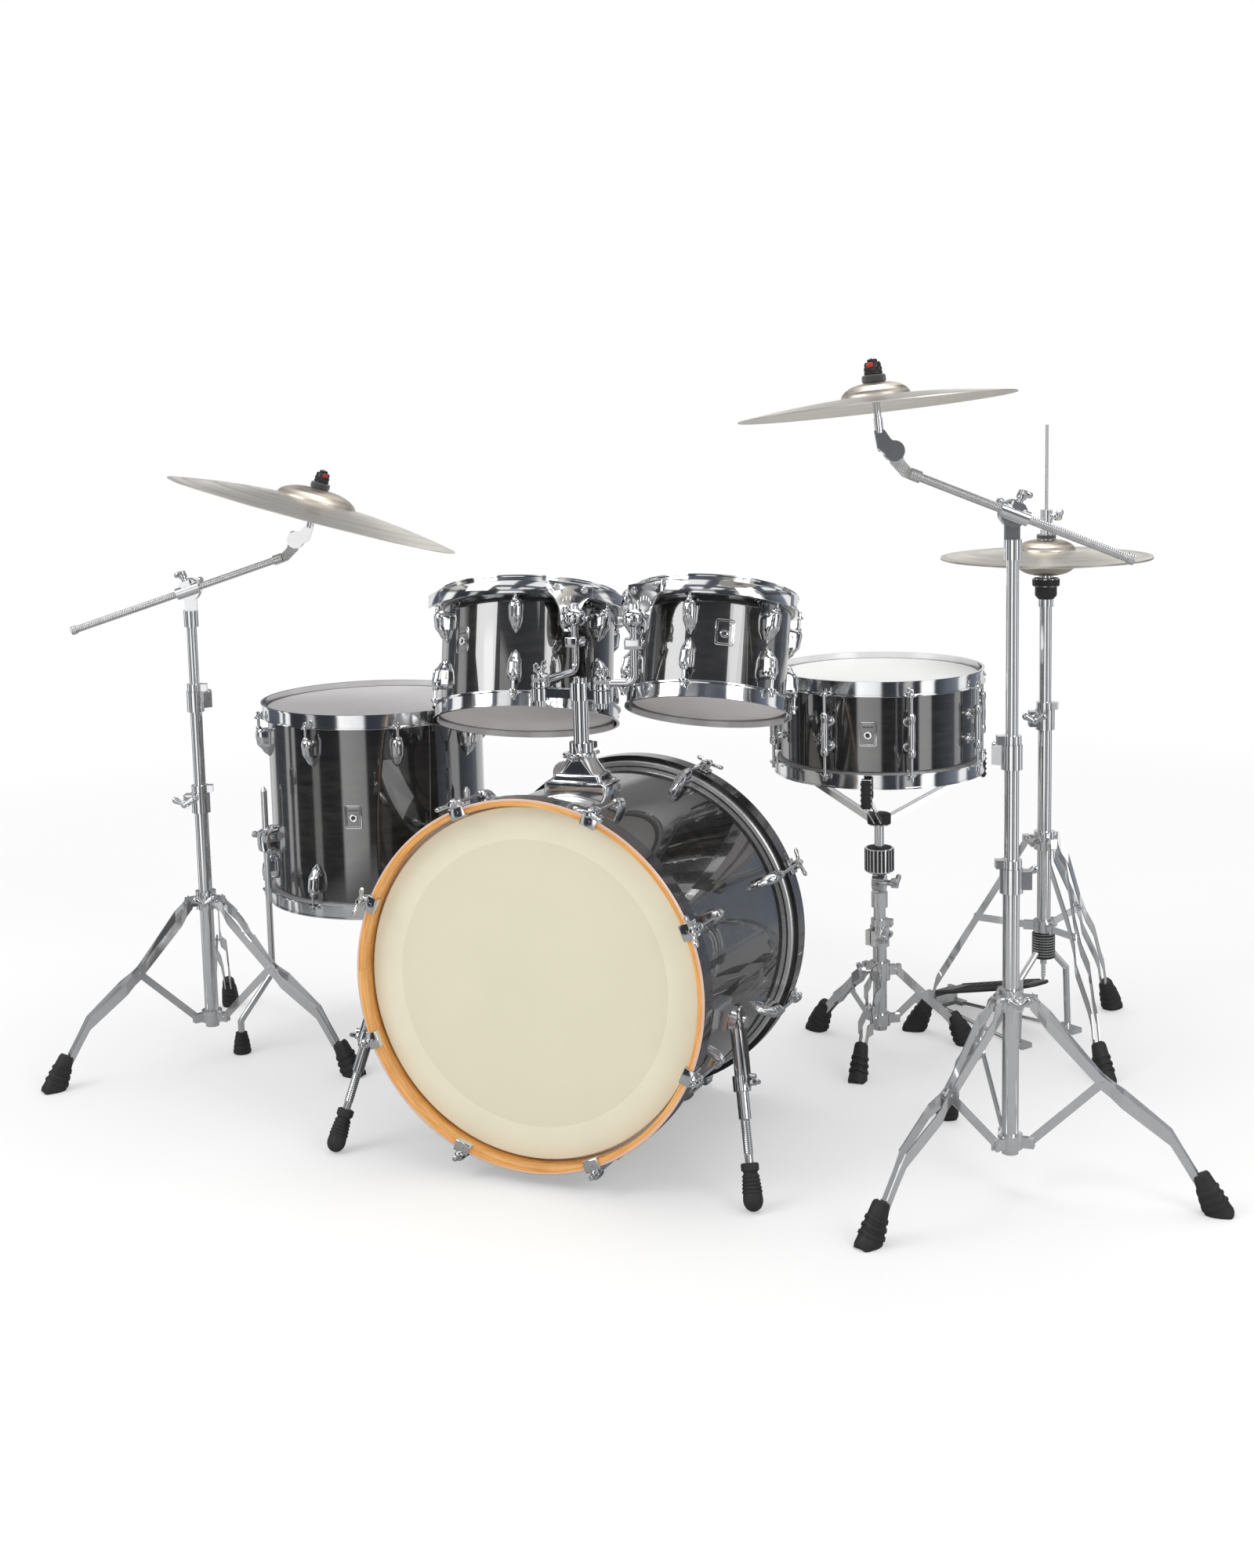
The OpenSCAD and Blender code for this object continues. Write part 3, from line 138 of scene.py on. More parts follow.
class Build:
    """Collects solids in millimetres and turns them into one piece in metres."""

    def __init__(self):
        self.bm = bmesh.new()

    def add(self, verts, faces, place=Matrix()):
        made = [self.bm.verts.new(place @ Vector(v)) for v in verts]
        for f in faces:
            self.bm.faces.new([made[i] for i in f])
        return made

    def take(self, other, place=Matrix()):
        other.verts.ensure_lookup_table()
        other.verts.index_update()
        verts = [v.co.copy() for v in other.verts]
        faces = [[v.index for v in f.verts] for f in other.faces]
        other.free()
        self.add(verts, faces, place)

    def lathe(self, profile, place=Matrix(), steps=48, start=0.0, arc=360.0):
        """A closed (radius, height) outline turned about Z."""
        whole = arc >= 360
        count = steps if whole else steps + 1
        n = len(profile)
        verts = []
        for i in range(count):
            a = math.radians(start + arc * i / steps)
            verts += [(r * math.cos(a), r * math.sin(a), z) for r, z in profile]
        faces = []
        for i in range(steps):
            j = (i + 1) % count if whole else i + 1
            for k in range(n):
                m = (k + 1) % n
                if profile[k][0] < 1e-6 and profile[m][0] < 1e-6:
                    continue
                faces.append((i * n + k, j * n + k, j * n + m, i * n + m))
        if not whole:
            faces.append(tuple(range(n)))
            faces.append(tuple(reversed(range(steps * n, steps * n + n))))
        temp = Build()
        temp.add(verts, faces)
        bmesh.ops.remove_doubles(temp.bm, verts=temp.bm.verts, dist=1e-5)
        self.take(temp.bm, place)

    def solid(self, profile, place=Matrix(), steps=48):
        """A turned solid: the outline is closed along the axis at both ends."""
        self.lathe([(0, profile[0][1])] + profile + [(0, profile[-1][1])], place, steps)

    def loft(self, rings, place=Matrix(), closed=False):
        """Skins rings of equal point count; the ends are capped unless closed."""
        n = len(rings[0])
        verts = [p for ring in rings for p in ring]
        faces = []
        spans = len(rings) if closed else len(rings) - 1
        for i in range(spans):
            j = (i + 1) % len(rings)
            for k in range(n):
                m = (k + 1) % n
                faces.append((i * n + k, j * n + k, j * n + m, i * n + m))
        if not closed:
            faces.append(tuple(range(n)))
            faces.append(tuple(range((len(rings) - 1) * n, len(rings) * n)))
        self.add(verts, faces, place)

    def tube(self, path, radius, place=Matrix(), steps=16, closed=False):
        """A round bar along a path; radius is one number or one for each point."""
        path = [Vector(p) for p in path]
        count = len(path)
        radii = radius if isinstance(radius, (list, tuple)) else [radius] * count
        ways = []
        for i in range(count):
            before = path[(i - 1) % count] if closed or i else path[0]
            after = path[(i + 1) % count] if closed or i < count - 1 else path[-1]
            ways.append((after - before).normalized())
        side = ways[0].orthogonal().normalized()
        rings = []
        for i in range(count):
            side = (side - ways[i] * side.dot(ways[i])).normalized()
            other = ways[i].cross(side)
            rings.append([
                path[i] + radii[i] * (side * math.cos(t) + other * math.sin(t))
                for t in (2 * math.pi * k / steps for k in range(steps))
            ])
        self.loft(rings, place, closed)

    def prism(self, outline, low, high, place=Matrix(), bevel=0.0, segments=2):
        """An outline in XY raised from low to high, with rounded edges."""
        n = len(outline)
        base = Build()
        base.add([(x, y, z) for z in (low, high) for x, y in outline],
                 [range(n), range(n, 2 * n)]
                 + [(k, (k + 1) % n, (k + 1) % n + n, k + n) for k in range(n)])
        temp = base.bm
        bmesh.ops.recalc_face_normals(temp, faces=temp.faces)
        if bevel:
            sharp = [e for e in temp.edges if e.calc_face_angle(0) > 0.5]
            bmesh.ops.bevel(temp, geom=sharp, offset=bevel, segments=segments, profile=0.5,
                            affect="EDGES", clamp_overlap=True)
        self.take(temp, place)

    def block(self, low, high, place=Matrix(), bevel=1.0):
        """A box between two corners with rounded edges."""
        outline = [(low[0], low[1]), (high[0], low[1]), (high[0], high[1]), (low[0], high[1])]
        self.prism(outline, low[2], high[2], place, bevel)

    def mesh(self, name, closed=True):
        """What was collected, in metres; closed solids get their faces turned outward."""
        for v in self.bm.verts:
            v.co *= MM
        if closed:
            bmesh.ops.recalc_face_normals(self.bm, faces=self.bm.faces)
        mesh = bpy.data.meshes.new(name)
        self.bm.to_mesh(mesh)
        self.bm.free()
        return mesh

    def piece(self, name, body, material, slot, angle=34):
        mesh = self.mesh(name)
        for face in mesh.polygons:
            face.use_smooth = True
        mesh.set_sharp_from_angle(angle=math.radians(angle))
        mesh.materials.append(material)
        obj = bpy.data.objects.new(name, mesh)
        bpy.context.scene.collection.objects.link(obj)
        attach(obj, body)
        return obj


def around(n, first=0.0):
    return [turn(first + 360 * i / n, "Z") for i in range(n)]


def aim(start, way):
    """A frame at start whose Z points along way."""
    return Matrix.Translation(start) @ Vector(way).to_track_quat("Z", "Y").to_matrix().to_4x4()


def arc_points(centre, radius, first, last, count):
    turns = (math.radians(first + (last - first) * i / (count - 1)) for i in range(count))
    return [(centre[0] + radius * math.cos(t), centre[1] + radius * math.sin(t)) for t in turns]


# ---- materials


class Tree:
    """A node tree with short names for what is used here."""

    def __init__(self, tree):
        self.tree = tree

    def new(self, kind, **settings):
        node = self.tree.nodes.new(kind)
        for key, value in settings.items():
            setattr(node, key, value)
        return node

    def feed(self, socket, value):
        """A socket takes a number, a colour or another node's output."""
        if isinstance(value, bpy.types.NodeSocket):
            self.tree.links.new(value, socket)
        elif isinstance(value, tuple) and socket.type == "RGBA":
            socket.default_value = (*value, 1)
        else:
            socket.default_value = value

    def made(self, kind, out, inputs, **settings):
        """A new node with its inputs fed; returns the named or numbered output."""
        node = self.new(kind, **settings)
        for key, value in inputs.items():
            self.feed(node.inputs[key], value)
        return node.outputs[out]

    def coords(self, place=None):
        """World coordinates in metres, seen in the frame of place (mm)."""
        source = self.new("ShaderNodeTexCoord").outputs["Object"]
        if place is not None:
            flip = place.to_3x3().determinant() < 0
            rigid = place @ Matrix.Diagonal((1, -1, 1, 1)) if flip else place
            back = rigid.inverted()
            back.translation *= MM
            source = self.made("ShaderNodeMapping", "Vector", {
                "Vector": source, "Location": back.translation,
                "Rotation": back.to_euler("XYZ")})
        return source

    def split(self, source):
        node = self.new("ShaderNodeSeparateXYZ")
        self.feed(node.inputs[0], source)
        return node.outputs

    def polar(self, source):
        """Angle, radius and height outputs about Z."""
        x, y, z = self.split(source)
        radius = self.made("ShaderNodeVectorMath", "Value", {0: self.combine(x, y, 0.0)},
                           operation="LENGTH")
        return self.math("ARCTAN2", y, x), radius, z

    def combine(self, x, y, z):
        return self.made("ShaderNodeCombineXYZ", 0, {0: x, 1: y, 2: z})

    def math(self, operation, a, b=0.0):
        return self.made("ShaderNodeMath", 0, {0: a, 1: b}, operation=operation)

    def times(self, a, b):
        return self.math("MULTIPLY", a, b)

    def noise(self, vector, scale, detail=4.0, rough=0.55, distort=0.0):
        return self.made("ShaderNodeTexNoise", "Fac", {
            "Vector": vector, "Scale": scale, "Detail": detail, "Roughness": rough,
            "Distortion": distort})

    def ramp(self, value, stops):
        node = self.new("ShaderNodeValToRGB")
        elements = node.color_ramp.elements
        while len(elements) < len(stops):
            elements.new(0.5)
        for element, (at, colour) in zip(elements, stops):
            element.position = at
            element.color = (*colour, 1)
        self.feed(node.inputs["Fac"], value)
        return node.outputs["Color"]

    def between(self, noise, low, high):
        """A colour that goes from low to high over the middle of a noise."""
        return self.ramp(noise, [(0.3, low), (0.7, high)])

    def mix(self, factor, a, b):
        return self.made("ShaderNodeMix", 2, {0: factor, 6: a, 7: b}, data_type="RGBA",
                         blend_type="MIX")

    def join(self, factor, a, b):
        """Shader a where factor is 0 and shader b where it is 1."""
        return self.made("ShaderNodeMixShader", 0, {0: factor, 1: a, 2: b})

    def range(self, value, low, high, to_low, to_high):
        return self.made("ShaderNodeMapRange", "Result", {
            "Value": value, "From Min": low, "From Max": high, "To Min": to_low,
            "To Max": to_high})


class Nodes(Tree):
    """A material, its tree and its main shader."""

    def __init__(self, name):
        self.mat = bpy.data.materials.new(name)
        self.mat.use_nodes = True
        super().__init__(self.mat.node_tree)
        self.shader = self.tree.nodes["Principled BSDF"]

    def set(self, **values):
        for key, value in values.items():
            self.shader.inputs[key.replace("_", " ")].default_value = value

    def to(self, output, name):
        self.feed(self.shader.inputs[name], output)

    def colour(self, output):
        self.to(output, "Base Color")

    def gloss(self, noise, smooth, rough):
        """Roughness that goes from smooth to rough over the middle of a noise."""
        self.to(self.range(noise, 0.3, 0.7, smooth, rough), "Roughness")

    def bump(self, height, strength, distance):
        self.to(self.made("ShaderNodeBump", "Normal", {
            "Height": height, "Strength": strength, "Distance": distance}), "Normal")


def grey(v):
    return (v, v, v)


def shade(colour, by):
    return tuple(c * by for c in colour)


def chrome_material(name, tone=0.82, rough=0.07, marks=0.05, metal=1.0):
    n = Nodes(name)
    n.set(Metallic=metal)
    spots = n.noise(n.coords(), 55, 5, 0.6)
    n.colour(n.between(spots, grey(tone * 0.95), (tone, tone * 1.01, tone * 1.035)))
    n.gloss(n.noise(n.coords(), 20, 6), rough, rough + marks)
    n.bump(n.noise(n.coords(), 14, 3), 0.06, 0.0006)
    return n.mat


def plastic_material(name, tone, rough, grain=700, depth=0.0002, tint=(1, 1, 1)):
    n = Nodes(name)
    n.colour(n.between(n.noise(n.coords(), 30, 4), shade(tint, tone * 0.75), shade(tint, tone * 1.3)))
    n.gloss(n.noise(n.coords(), 90, 4), rough - 0.06, rough + 0.08)
    n.bump(n.noise(n.coords(), grain, 3), 0.35, depth)
    return n.mat


def shell_material(name, place, depth, r):
    """Charcoal lacquer over a dark veneer whose grain runs round the shell."""
    n = Nodes(name)
    angle, radius, height = n.polar(n.coords(place))
    round_x = n.math("SINE", angle)
    round_y = n.math("COSINE", angle)
    streak = n.noise(n.combine(round_x, round_y, n.times(height, 30.0)), 3.2, 8, 0.62, 0.35)
    fine = n.noise(n.combine(round_x, round_y, n.times(height, 160.0)), 5.0, 4, 0.7)
    middle = n.math("ABSOLUTE", n.math("SUBTRACT", height, depth * MM / 2))
    burst = n.range(middle, depth * MM * 0.16, depth * MM * 0.5, 1.0, 0.0)
    veneer = n.ramp(streak, [(0.30, (0.007, 0.007, 0.008)), (0.48, (0.017, 0.016, 0.014)),
                             (0.62, (0.034, 0.031, 0.024)), (0.80, (0.018, 0.017, 0.015))])
    dark = n.between(streak, (0.006, 0.006, 0.007), (0.016, 0.015, 0.015))
    tone = n.mix(burst, dark, veneer)
    tone = n.mix(n.range(fine, 0.35, 0.7, 0.0, 0.35), tone, grey(0.004))
    inside = n.math("LESS_THAN", radius, (r - 2.5) * MM)
    n.colour(n.mix(inside, tone, n.between(streak, (0.30, 0.19, 0.10), (0.48, 0.33, 0.19))))
    n.gloss(fine, 0.16, 0.24)
    n.set(Coat_Weight=1.0, Coat_Roughness=0.01, Coat_IOR=2.3, Specular_IOR_Level=0.4)
    n.bump(n.noise(n.coords(), 4, 2), 0.05, 0.0006)
    return n.mat


def grain(n, place, across, along, scale, distort=0.0):
    """Wood grain that runs round a hoop, and the hoop's radius."""
    angle, radius, height = n.polar(n.coords(place))
    way = n.combine(n.times(angle, 2.0), n.times(radius, across), n.times(height, along))
    return n.noise(way, scale, 6, 0.6, distort), radius


def amber_material():
    """Front hoop: amber face, thin plies at its outer edge, black outer skin."""
    n = Nodes("amber_hoop")
    streak, radius = grain(n, front_end, 180.0, 60.0, 2.2, 0.3)
    amber = n.ramp(streak, [(0.28, (0.56, 0.22, 0.05)), (0.5, (0.80, 0.38, 0.10)),
                            (0.72, (0.92, 0.52, 0.18))])
    plies = n.math("SINE", n.times(radius, 2 * math.pi / 0.0013))
    ply = n.ramp(n.range(plies, -1, 1, 0, 1), [(0.35, (0.62, 0.36, 0.26)), (0.6, (0.86, 0.62, 0.5))])
    edge = n.range(radius, (HOOP_OUT - 4.4) * MM, (HOOP_OUT - 4.0) * MM, 0, 1)
    black = n.math("GREATER_THAN", radius, (HOOP_OUT - 0.35) * MM)
    n.colour(n.mix(black, n.mix(edge, amber, ply), (0.007, 0.007, 0.008)))
    n.gloss(streak, 0.22, 0.34)
    n.set(Coat_Weight=0.8, Coat_Roughness=0.05)
    n.bump(streak, 0.08, 0.0004)
    return n.mat


def black_wood_material():
    n = Nodes("black_hoop")
    streak, _ = grain(n, rear_end, 150.0, 90.0, 2.4)
    n.colour(n.between(streak, (0.006, 0.006, 0.007), (0.020, 0.019, 0.018)))
    n.gloss(streak, 0.16, 0.26)
    n.set(Coat_Weight=0.9, Coat_Roughness=0.04)
    n.bump(streak, 0.1, 0.0004)
    return n.mat


def head_material(name, place, depth, r, top, under, rim, disc=0.0, inner=None):
    """Coated film with an aluminium flesh hoop; the under head may have another tone. On the toms
    that under tone is painted lighter, standing in for light missing under the drum.
    """
    n = Nodes(name)
    _, radius, height = n.polar(n.coords(place))
    cloud = n.noise(n.coords(), 9, 5, 0.6)
    film = n.mix(n.math("LESS_THAN", height, depth * MM / 2),
                 n.between(cloud, shade(top, 0.95), top), n.between(cloud, shade(under, 0.93), under))
    if disc:
        dot = n.range(radius, disc * r * MM - 0.0006, disc * r * MM + 0.0006, 1, 0)
        dot = n.times(dot, n.math("GREATER_THAN", height, depth * MM / 2))
        film = n.mix(dot, film, n.between(cloud, shade(inner, 0.97), inner))
    metal = n.math("GREATER_THAN", radius, (r + 2.2) * MM)
    n.colour(n.mix(metal, film, rim))
    n.to(metal, "Metallic")
    n.gloss(n.noise(n.coords(), 120, 4), 0.42, 0.56)
    n.bump(n.noise(n.coords(), 1500, 3, 0.7), 0.25, 0.00012)
    return n.mat


def cymbal_material(name, place, bell):
    """Pale turned bronze: fine lathe rings, soft hammer marks and a browner bell."""
    n = Nodes(name)
    angle, radius, _ = n.polar(n.coords(place))
    rings = n.noise(n.combine(n.times(radius, 900.0), n.times(angle, 0.25), 0.0), 1.0, 3, 0.8)
    broad = n.noise(n.combine(n.times(radius, 60.0), n.times(angle, 0.6), 0.0), 1.0, 3, 0.5)
    tone = n.between(broad, (0.82, 0.78, 0.71), (0.93, 0.90, 0.83))
    tone = n.mix(n.range(rings, 0.35, 0.65, 0.0, 0.28), tone, (0.68, 0.61, 0.52))
    inner = n.range(radius, (bell + 1) * MM, (bell - 2) * MM, 0, 1)
    n.colour(n.mix(n.times(inner, 0.55), tone, (0.46, 0.37, 0.27)))
    n.set(Metallic=1.0, Anisotropic=0.55)
    n.gloss(broad, 0.30, 0.42)
    marks = n.made("ShaderNodeTexVoronoi", "Distance", {"Vector": n.coords(), "Scale": 42})
    n.bump(n.math("ADD", n.times(rings, 0.5), n.times(marks, 0.35)), 0.28, 0.0003)
    return n.mat


def felt_material():
    n = Nodes("grey_felt_wool")
    fibre = n.noise(n.coords(), 900, 6, 0.75, 0.6)
    n.colour(n.between(fibre, (0.022, 0.022, 0.024), (0.085, 0.085, 0.09)))
    n.set(Roughness=0.95, Sheen_Weight=0.6, Sheen_Roughness=0.5)
    n.bump(fibre, 0.9, 0.0008)
    return n.mat


def knurled_material(name, place):
    """Chrome boom rod with fine grooves along its length."""
    n = Nodes(name)
    n.set(Metallic=0.85)
    along = n.split(n.coords(place))["X"]
    n.colour(n.between(n.noise(n.coords(), 60, 4), grey(0.66), grey(0.80)))
    n.gloss(n.noise(n.coords(), 40, 4), 0.14, 0.22)
    n.bump(n.math("SINE", n.times(along, 2 * math.pi / 0.0034)), 0.55, 0.0007)
    return n.mat


CHROME = chrome_material("chrome_bright")
CAST = chrome_material("chrome_cast", 0.74, 0.16, 0.08)
TUBE = chrome_material("chrome_stands", 0.88, 0.05, 0.03, 0.87)
STEEL = chrome_material("steel_brushed", 0.80, 0.20, 0.1, 0.7)
WIRE = chrome_material("steel_wires", 0.55, 0.22, 0.1)
RUBBER = plastic_material("black_rubber_mat", 0.020, 0.62, 900, 0.0003)
PLASTIC = plastic_material("black_plastic", 0.016, 0.42)
IRON = plastic_material("black_metal_mat", 0.024, 0.36, 400, 0.0002)
RED = plastic_material("red_button", 0.42, 0.38, 500, 0.0001, (1.0, 0.06, 0.05))
FELT = felt_material()

# material name: (node's first part, place of the lower edge, depth, radius, colours of the heads)
# The toms' under-head tone is lighter than the top: painted light making up for the shade under the
# drum.
TOM_HEADS = (grey(0.78), (0.84, 0.79, 0.78), grey(0.6))
DRUMS = {
    "bass": ("bass", in_bass @ move(0, 0, -EDGE_IN - BASS_DEPTH), BASS_DEPTH, BASS_R,
             ((0.80, 0.765, 0.60), (0.62, 0.61, 0.58), grey(0.46), 0.82, (0.735, 0.695, 0.53))),
    "floor": ("floor_tom", in_floor, FLOOR_DEPTH, FLOOR_R,
              ((0.66, 0.64, 0.645), (0.70, 0.66, 0.65), grey(0.6))),
    "snare": ("snare", in_snare, SNARE_DEPTH, SNARE_R,
              ((0.88, 0.88, 0.87), (0.6, 0.57, 0.56), grey(0.5))),
}
for name, tom in TOMS.items():
    DRUMS[name] = (name, tom["place"], tom["depth"], tom["r"], TOM_HEADS)
CYMBALS = {
    "ride_cymbal": ("bronze_ride", STANDS["left"]["cymbal"], 73),
    "crash_cymbal": ("bronze_crash", STANDS["right"]["cymbal"], 51),
    "hihat_cymbal_top": ("bronze_hat_top", move(*HIHAT_AT), 53),
    "hihat_cymbal_bottom": ("bronze_hat_low", move(*HIHAT_AT), 53),
}
DARK = ("spur_left_foot", "spur_right_foot", "rubber_feet")
ON_STANDS = ("left_", "right_", "hihat_", "snare_stand", "snare_basket", "floor_tom_legs")


def dress(node, material):
    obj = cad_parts[node]
    if not obj.material_slots:
        obj.data.materials.append(material)
    for slot in obj.material_slots:
        slot.material = material


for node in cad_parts:
    if node in DARK:
        dress(node, RUBBER)
    elif node in ("strainer_lever", "hihat_footboard"):
        dress(node, IRON)
    elif node in ("spur_left", "spur_right", "tom_mount_base", "bass_lugs", "spur_brackets"):
        dress(node, CAST)
    elif node.endswith("felts"):
        dress(node, PLASTIC)
    elif node == "snare_wires":
        dress(node, WIRE)
    elif node.startswith(ON_STANDS):
        dress(node, TUBE)
    else:
        dress(node, CHROME)
for name, (node, place, depth, r, tones) in DRUMS.items():
    dress(node + "_shell", shell_material("lacquer_" + name, place, depth, r))
    dress(node + "_heads", head_material("head_" + name, place, depth, r, *tones))
for node, settings in CYMBALS.items():
    dress(node, cymbal_material(*settings))
dress("bass_hoop_front", amber_material())
dress("bass_hoop_rear", black_wood_material())
for side, stand in STANDS.items():
    dress(side + "_boom_rod", knurled_material("knurled_" + side, stand["in_boom"]))

# ---- drum fittings


def eased(stops, t):
    """Reads a smooth curve through (place, value) stops."""
    for (t0, v0), (t1, v1) in zip(stops, stops[1:]):
        if t <= t1:
            u = (t - t0) / (t1 - t0)
            return v0 + (v1 - v0) * u * u * (3 - 2 * u)
    return stops[-1][1]


def bulge(value, power):
    """A sine or cosine made squarer, for rounded box sections."""
    return math.copysign(abs(value) ** power, value)


def lobe(build, place, thick, wide, low, high, shift=0, steps=14):
    """A flat rounded wing along Z, whose half sizes are read from stops."""
    rings = []
    for i in range(9):
        t = i / 8
        a = eased(thick, t)
        b = eased(wide, t)
        rings.append([(shift + a * math.cos(q), b * math.sin(q), low + (high - low) * t)
                      for q in (2 * math.pi * k / steps for k in range(steps))])
    build.loft(rings, place)


LUG_WIDTH = [(0, 0.8), (0.07, 0.95), (0.2, 1.0), (0.58, 0.94), (0.84, 0.62), (0.96, 0.3), (1, 0.12)]
LUG_REACH = [(0, 0.84), (0.06, 0.97), (0.16, 1.0), (0.5, 0.9), (0.8, 0.52), (0.95, 0.22), (1, 0.08)]


def lug_body(build, place, r, reach, top, length, width):
    """A pear-shaped cast lug: a smooth body with a raised tongue."""
    for grow, wide, first, last in ((0.0, 1.0, 0.0, 1.0), (1.5, 0.46, 0.12, 0.82)):
        rings = []
        for i in range(15):
            t = first + (last - first) * i / 14
            lift = grow * math.sin(math.pi * i / 14)
            out = reach * eased(LUG_REACH, t) + lift - (0.2 if grow else 0)
            half = width / 2 * eased(LUG_WIDTH, t) * wide
            ring = [(r - 2, -half, top - length * t)]
            for k in range(13):
                a = math.pi * (k / 12 - 0.5)
                y = half * bulge(math.sin(a), 0.75)
                x = r + max(out, 0.6) * abs(math.cos(a)) ** 0.62
                ring.append((x, y, top - length * t))
            ring.append((r - 2, half, top - length * t))
            rings.append(ring)
        build.loft(rings, place)


def tension_rod(build, place, r, length=44):
    at = place @ move(r + EAR_AT, 0, HOOP_FOOT + 2.5)
    build.solid([(2.7, -length), (2.7, 0), (5.6, 0), (6.0, 0.6), (6.0, 1.6), (5.2, 2.4),
                 (4.2, 3.2), (4.2, 3.6)], at, 20)
    build.block((-3.2, -3.2, 3.4), (3.2, 3.2, 10.4), at, 0.9)
    build.solid([(5.4, LUG_TOP - HOOP_FOOT - 3), (5.4, LUG_TOP - HOOP_FOOT + 0.5),
                 (4.4, LUG_TOP - HOOP_FOOT + 2)], at, 20)


def drum_lugs(build, place, r, n, first):
    for spin in around(n, first):
        lug_body(build, place @ spin, r, 25.5, LUG_TOP, 53, 25)
        tension_rod(build, place @ spin, r)


def round_outline(half_x, half_y, corner, steps=5):
    points = []
    for cx, cy, start in ((1, 1, 0), (-1, 1, 90), (-1, -1, 180), (1, -1, 270)):
        points += arc_points((cx * (half_x - corner), cy * (half_y - corner)), corner, start,
                             start + 90, steps)
    return points


def upright(place):
    """A frame whose X is across, Y is up and Z points out of the drum's side."""
    turned = Matrix(((0, 0, 1, 0), (1, 0, 0, 0), (0, 1, 0, 0), (0, 0, 0, 1)))
    return place @ turned


def badge(name, body, place, r, angle, height):
    """A plain plate outline with a round air-vent grommet, curved to the shell."""
    build = Build()
    side = place @ turn(angle, "Z")

    def on_shell(x, y, lift):
        a = x / r
        return ((r + lift) * math.cos(a), (r + lift) * math.sin(a), height + y)

    for half_x, half_y, corner, thick in ((15, 21, 4, 1.1), (12, 18, 3, 0.5)):
        path = [on_shell(x, y, 0.7) for x, y in round_outline(half_x, half_y, corner)]
        build.tube(path, thick, side, 8, closed=True)
    grommet = upright(side @ move(r, 0, height - 2))
    build.lathe([(3.0, -0.5), (7.6, -0.5), (7.6, 0.9), (6.4, 2.0), (4.6, 2.0), (3.0, 0.6)],
                grommet, 32)
    build.piece(name, body, CHROME, "chrome")
    dark = Build()
    for x in (-6.5, 0, 6.5):
        dark.tube([on_shell(x - 2.5, 12, 0.5), on_shell(x + 2.5, 12, 0.5)], 0.7, side, 8)
    # The black disc in the grommet's opening is painted shade standing in for the dark vent hole.
    dark.solid([(3.1, 0.2), (3.1, 0.5)], grommet, 20)
    dark.piece(name + "_dark", body, IRON, "black_metal")


def tom_fittings(name, tom):
    """Lugs, rods, the mount band with its plate, and the ball clamp."""
    r = tom["r"]
    top = tom["place"] @ move(0, 0, tom["depth"])
    build = Build()
    for end in ends(tom["place"], tom["depth"]):
        drum_lugs(build, end, r, 6, 30)
    lugs = build.piece(name + "_lugs", name, CHROME, "chrome")
    build = Build()
    band = r + 27
    build.lathe([(band, -23), (band + 0.8, -24), (band + 3.2, -24), (band + 3.8, -22.5),
                 (band + 3.8, -3.5), (band + 3.2, -2), (band + 0.8, -2), (band, -3)],
                top, 72, -97, 194)
    for angle in (-90, -30, 30, 90):
        build.block((r + 12, -8, -24), (band + 1, 8, -21.6), top @ turn(angle, "Z"), 0.8)
    half = [(41, -1), (42, -8), (41, -23), (34, -27), (27, -34), (21, -46), (18, -58), (17, -76),
            (13, -84), (6, -88)]
    outline = half + [(-x, y) for x, y in reversed(half)]
    face = upright(top)
    build.prism(outline, band + 1.5, band + 6.5, face, 1.3, 3)
    for y in (-26, 26):
        build.solid([(6.2, band + 6), (6.2, band + 8.2), (5.2, band + 9.2), (2.6, band + 9.2),
                     (2.2, band + 8.2)], face @ move(y, -13, 0), 24)
    for k in range(9):
        a = math.radians(20 + 140 * k / 8)
        ray = [(24 * math.cos(a), -56 + 24 * math.sin(a), band + 6.4),
               (31 * math.cos(a) * 0.72, -56 + 31 * math.sin(a), band + 6.4)]
        build.tube(ray, 0.6, face, 6)
    ball = Matrix.Translation(tom["ball"])
    build.lathe([(11.6, -13.6), (14.5, -13.2), (17.6, -9.5), (18.8, -5), (18.8, -1.5),
                 (17.4, -0.6), (17.4, 0.6), (18.8, 1.5), (18.8, 5), (16.8, 10), (12, 14),
                 (9, 15), (8.4, 16), (8.4, 22), (7.4, 23.5), (4, 24.5), (0, 24.5),
                 (0, 14.0), (9.6, 9.6), (13.4, 2), (13.4, -3), (11.6, -8)], ball, 40)
    neck = upright(top @ move(0, 0, -78))
    build.prism(round_outline(13, 11, 3), band + 5, r + 37, neck, 0.8)
    way = tom["ball"] - tom["place"].translation
    knob = ball @ turn(math.degrees(math.atan2(way.y, way.x)), "Z")
    for y in (-14.5, 14.5):
        build.prism(arc_points((0, 0), 5.4, 0, 300, 6), 12, 21,
                    knob @ move(0, y, -3) @ turn(90, "Y"), 0.7)
    build.piece(name + "_mount", name, CHROME, "chrome")
    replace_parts(lugs, name + "_hardware")


for name, tom in TOMS.items():
    tom_fittings(name, tom)
for name, angle, height in (("tom_left", -70, 112), ("tom_right", 55, 98), ("floor", -74, 178),
                            ("snare", -81, 84)):
    body, place, _, r, _ = DRUMS[name]
    badge(body + "_badge", body, place, r, angle, height)


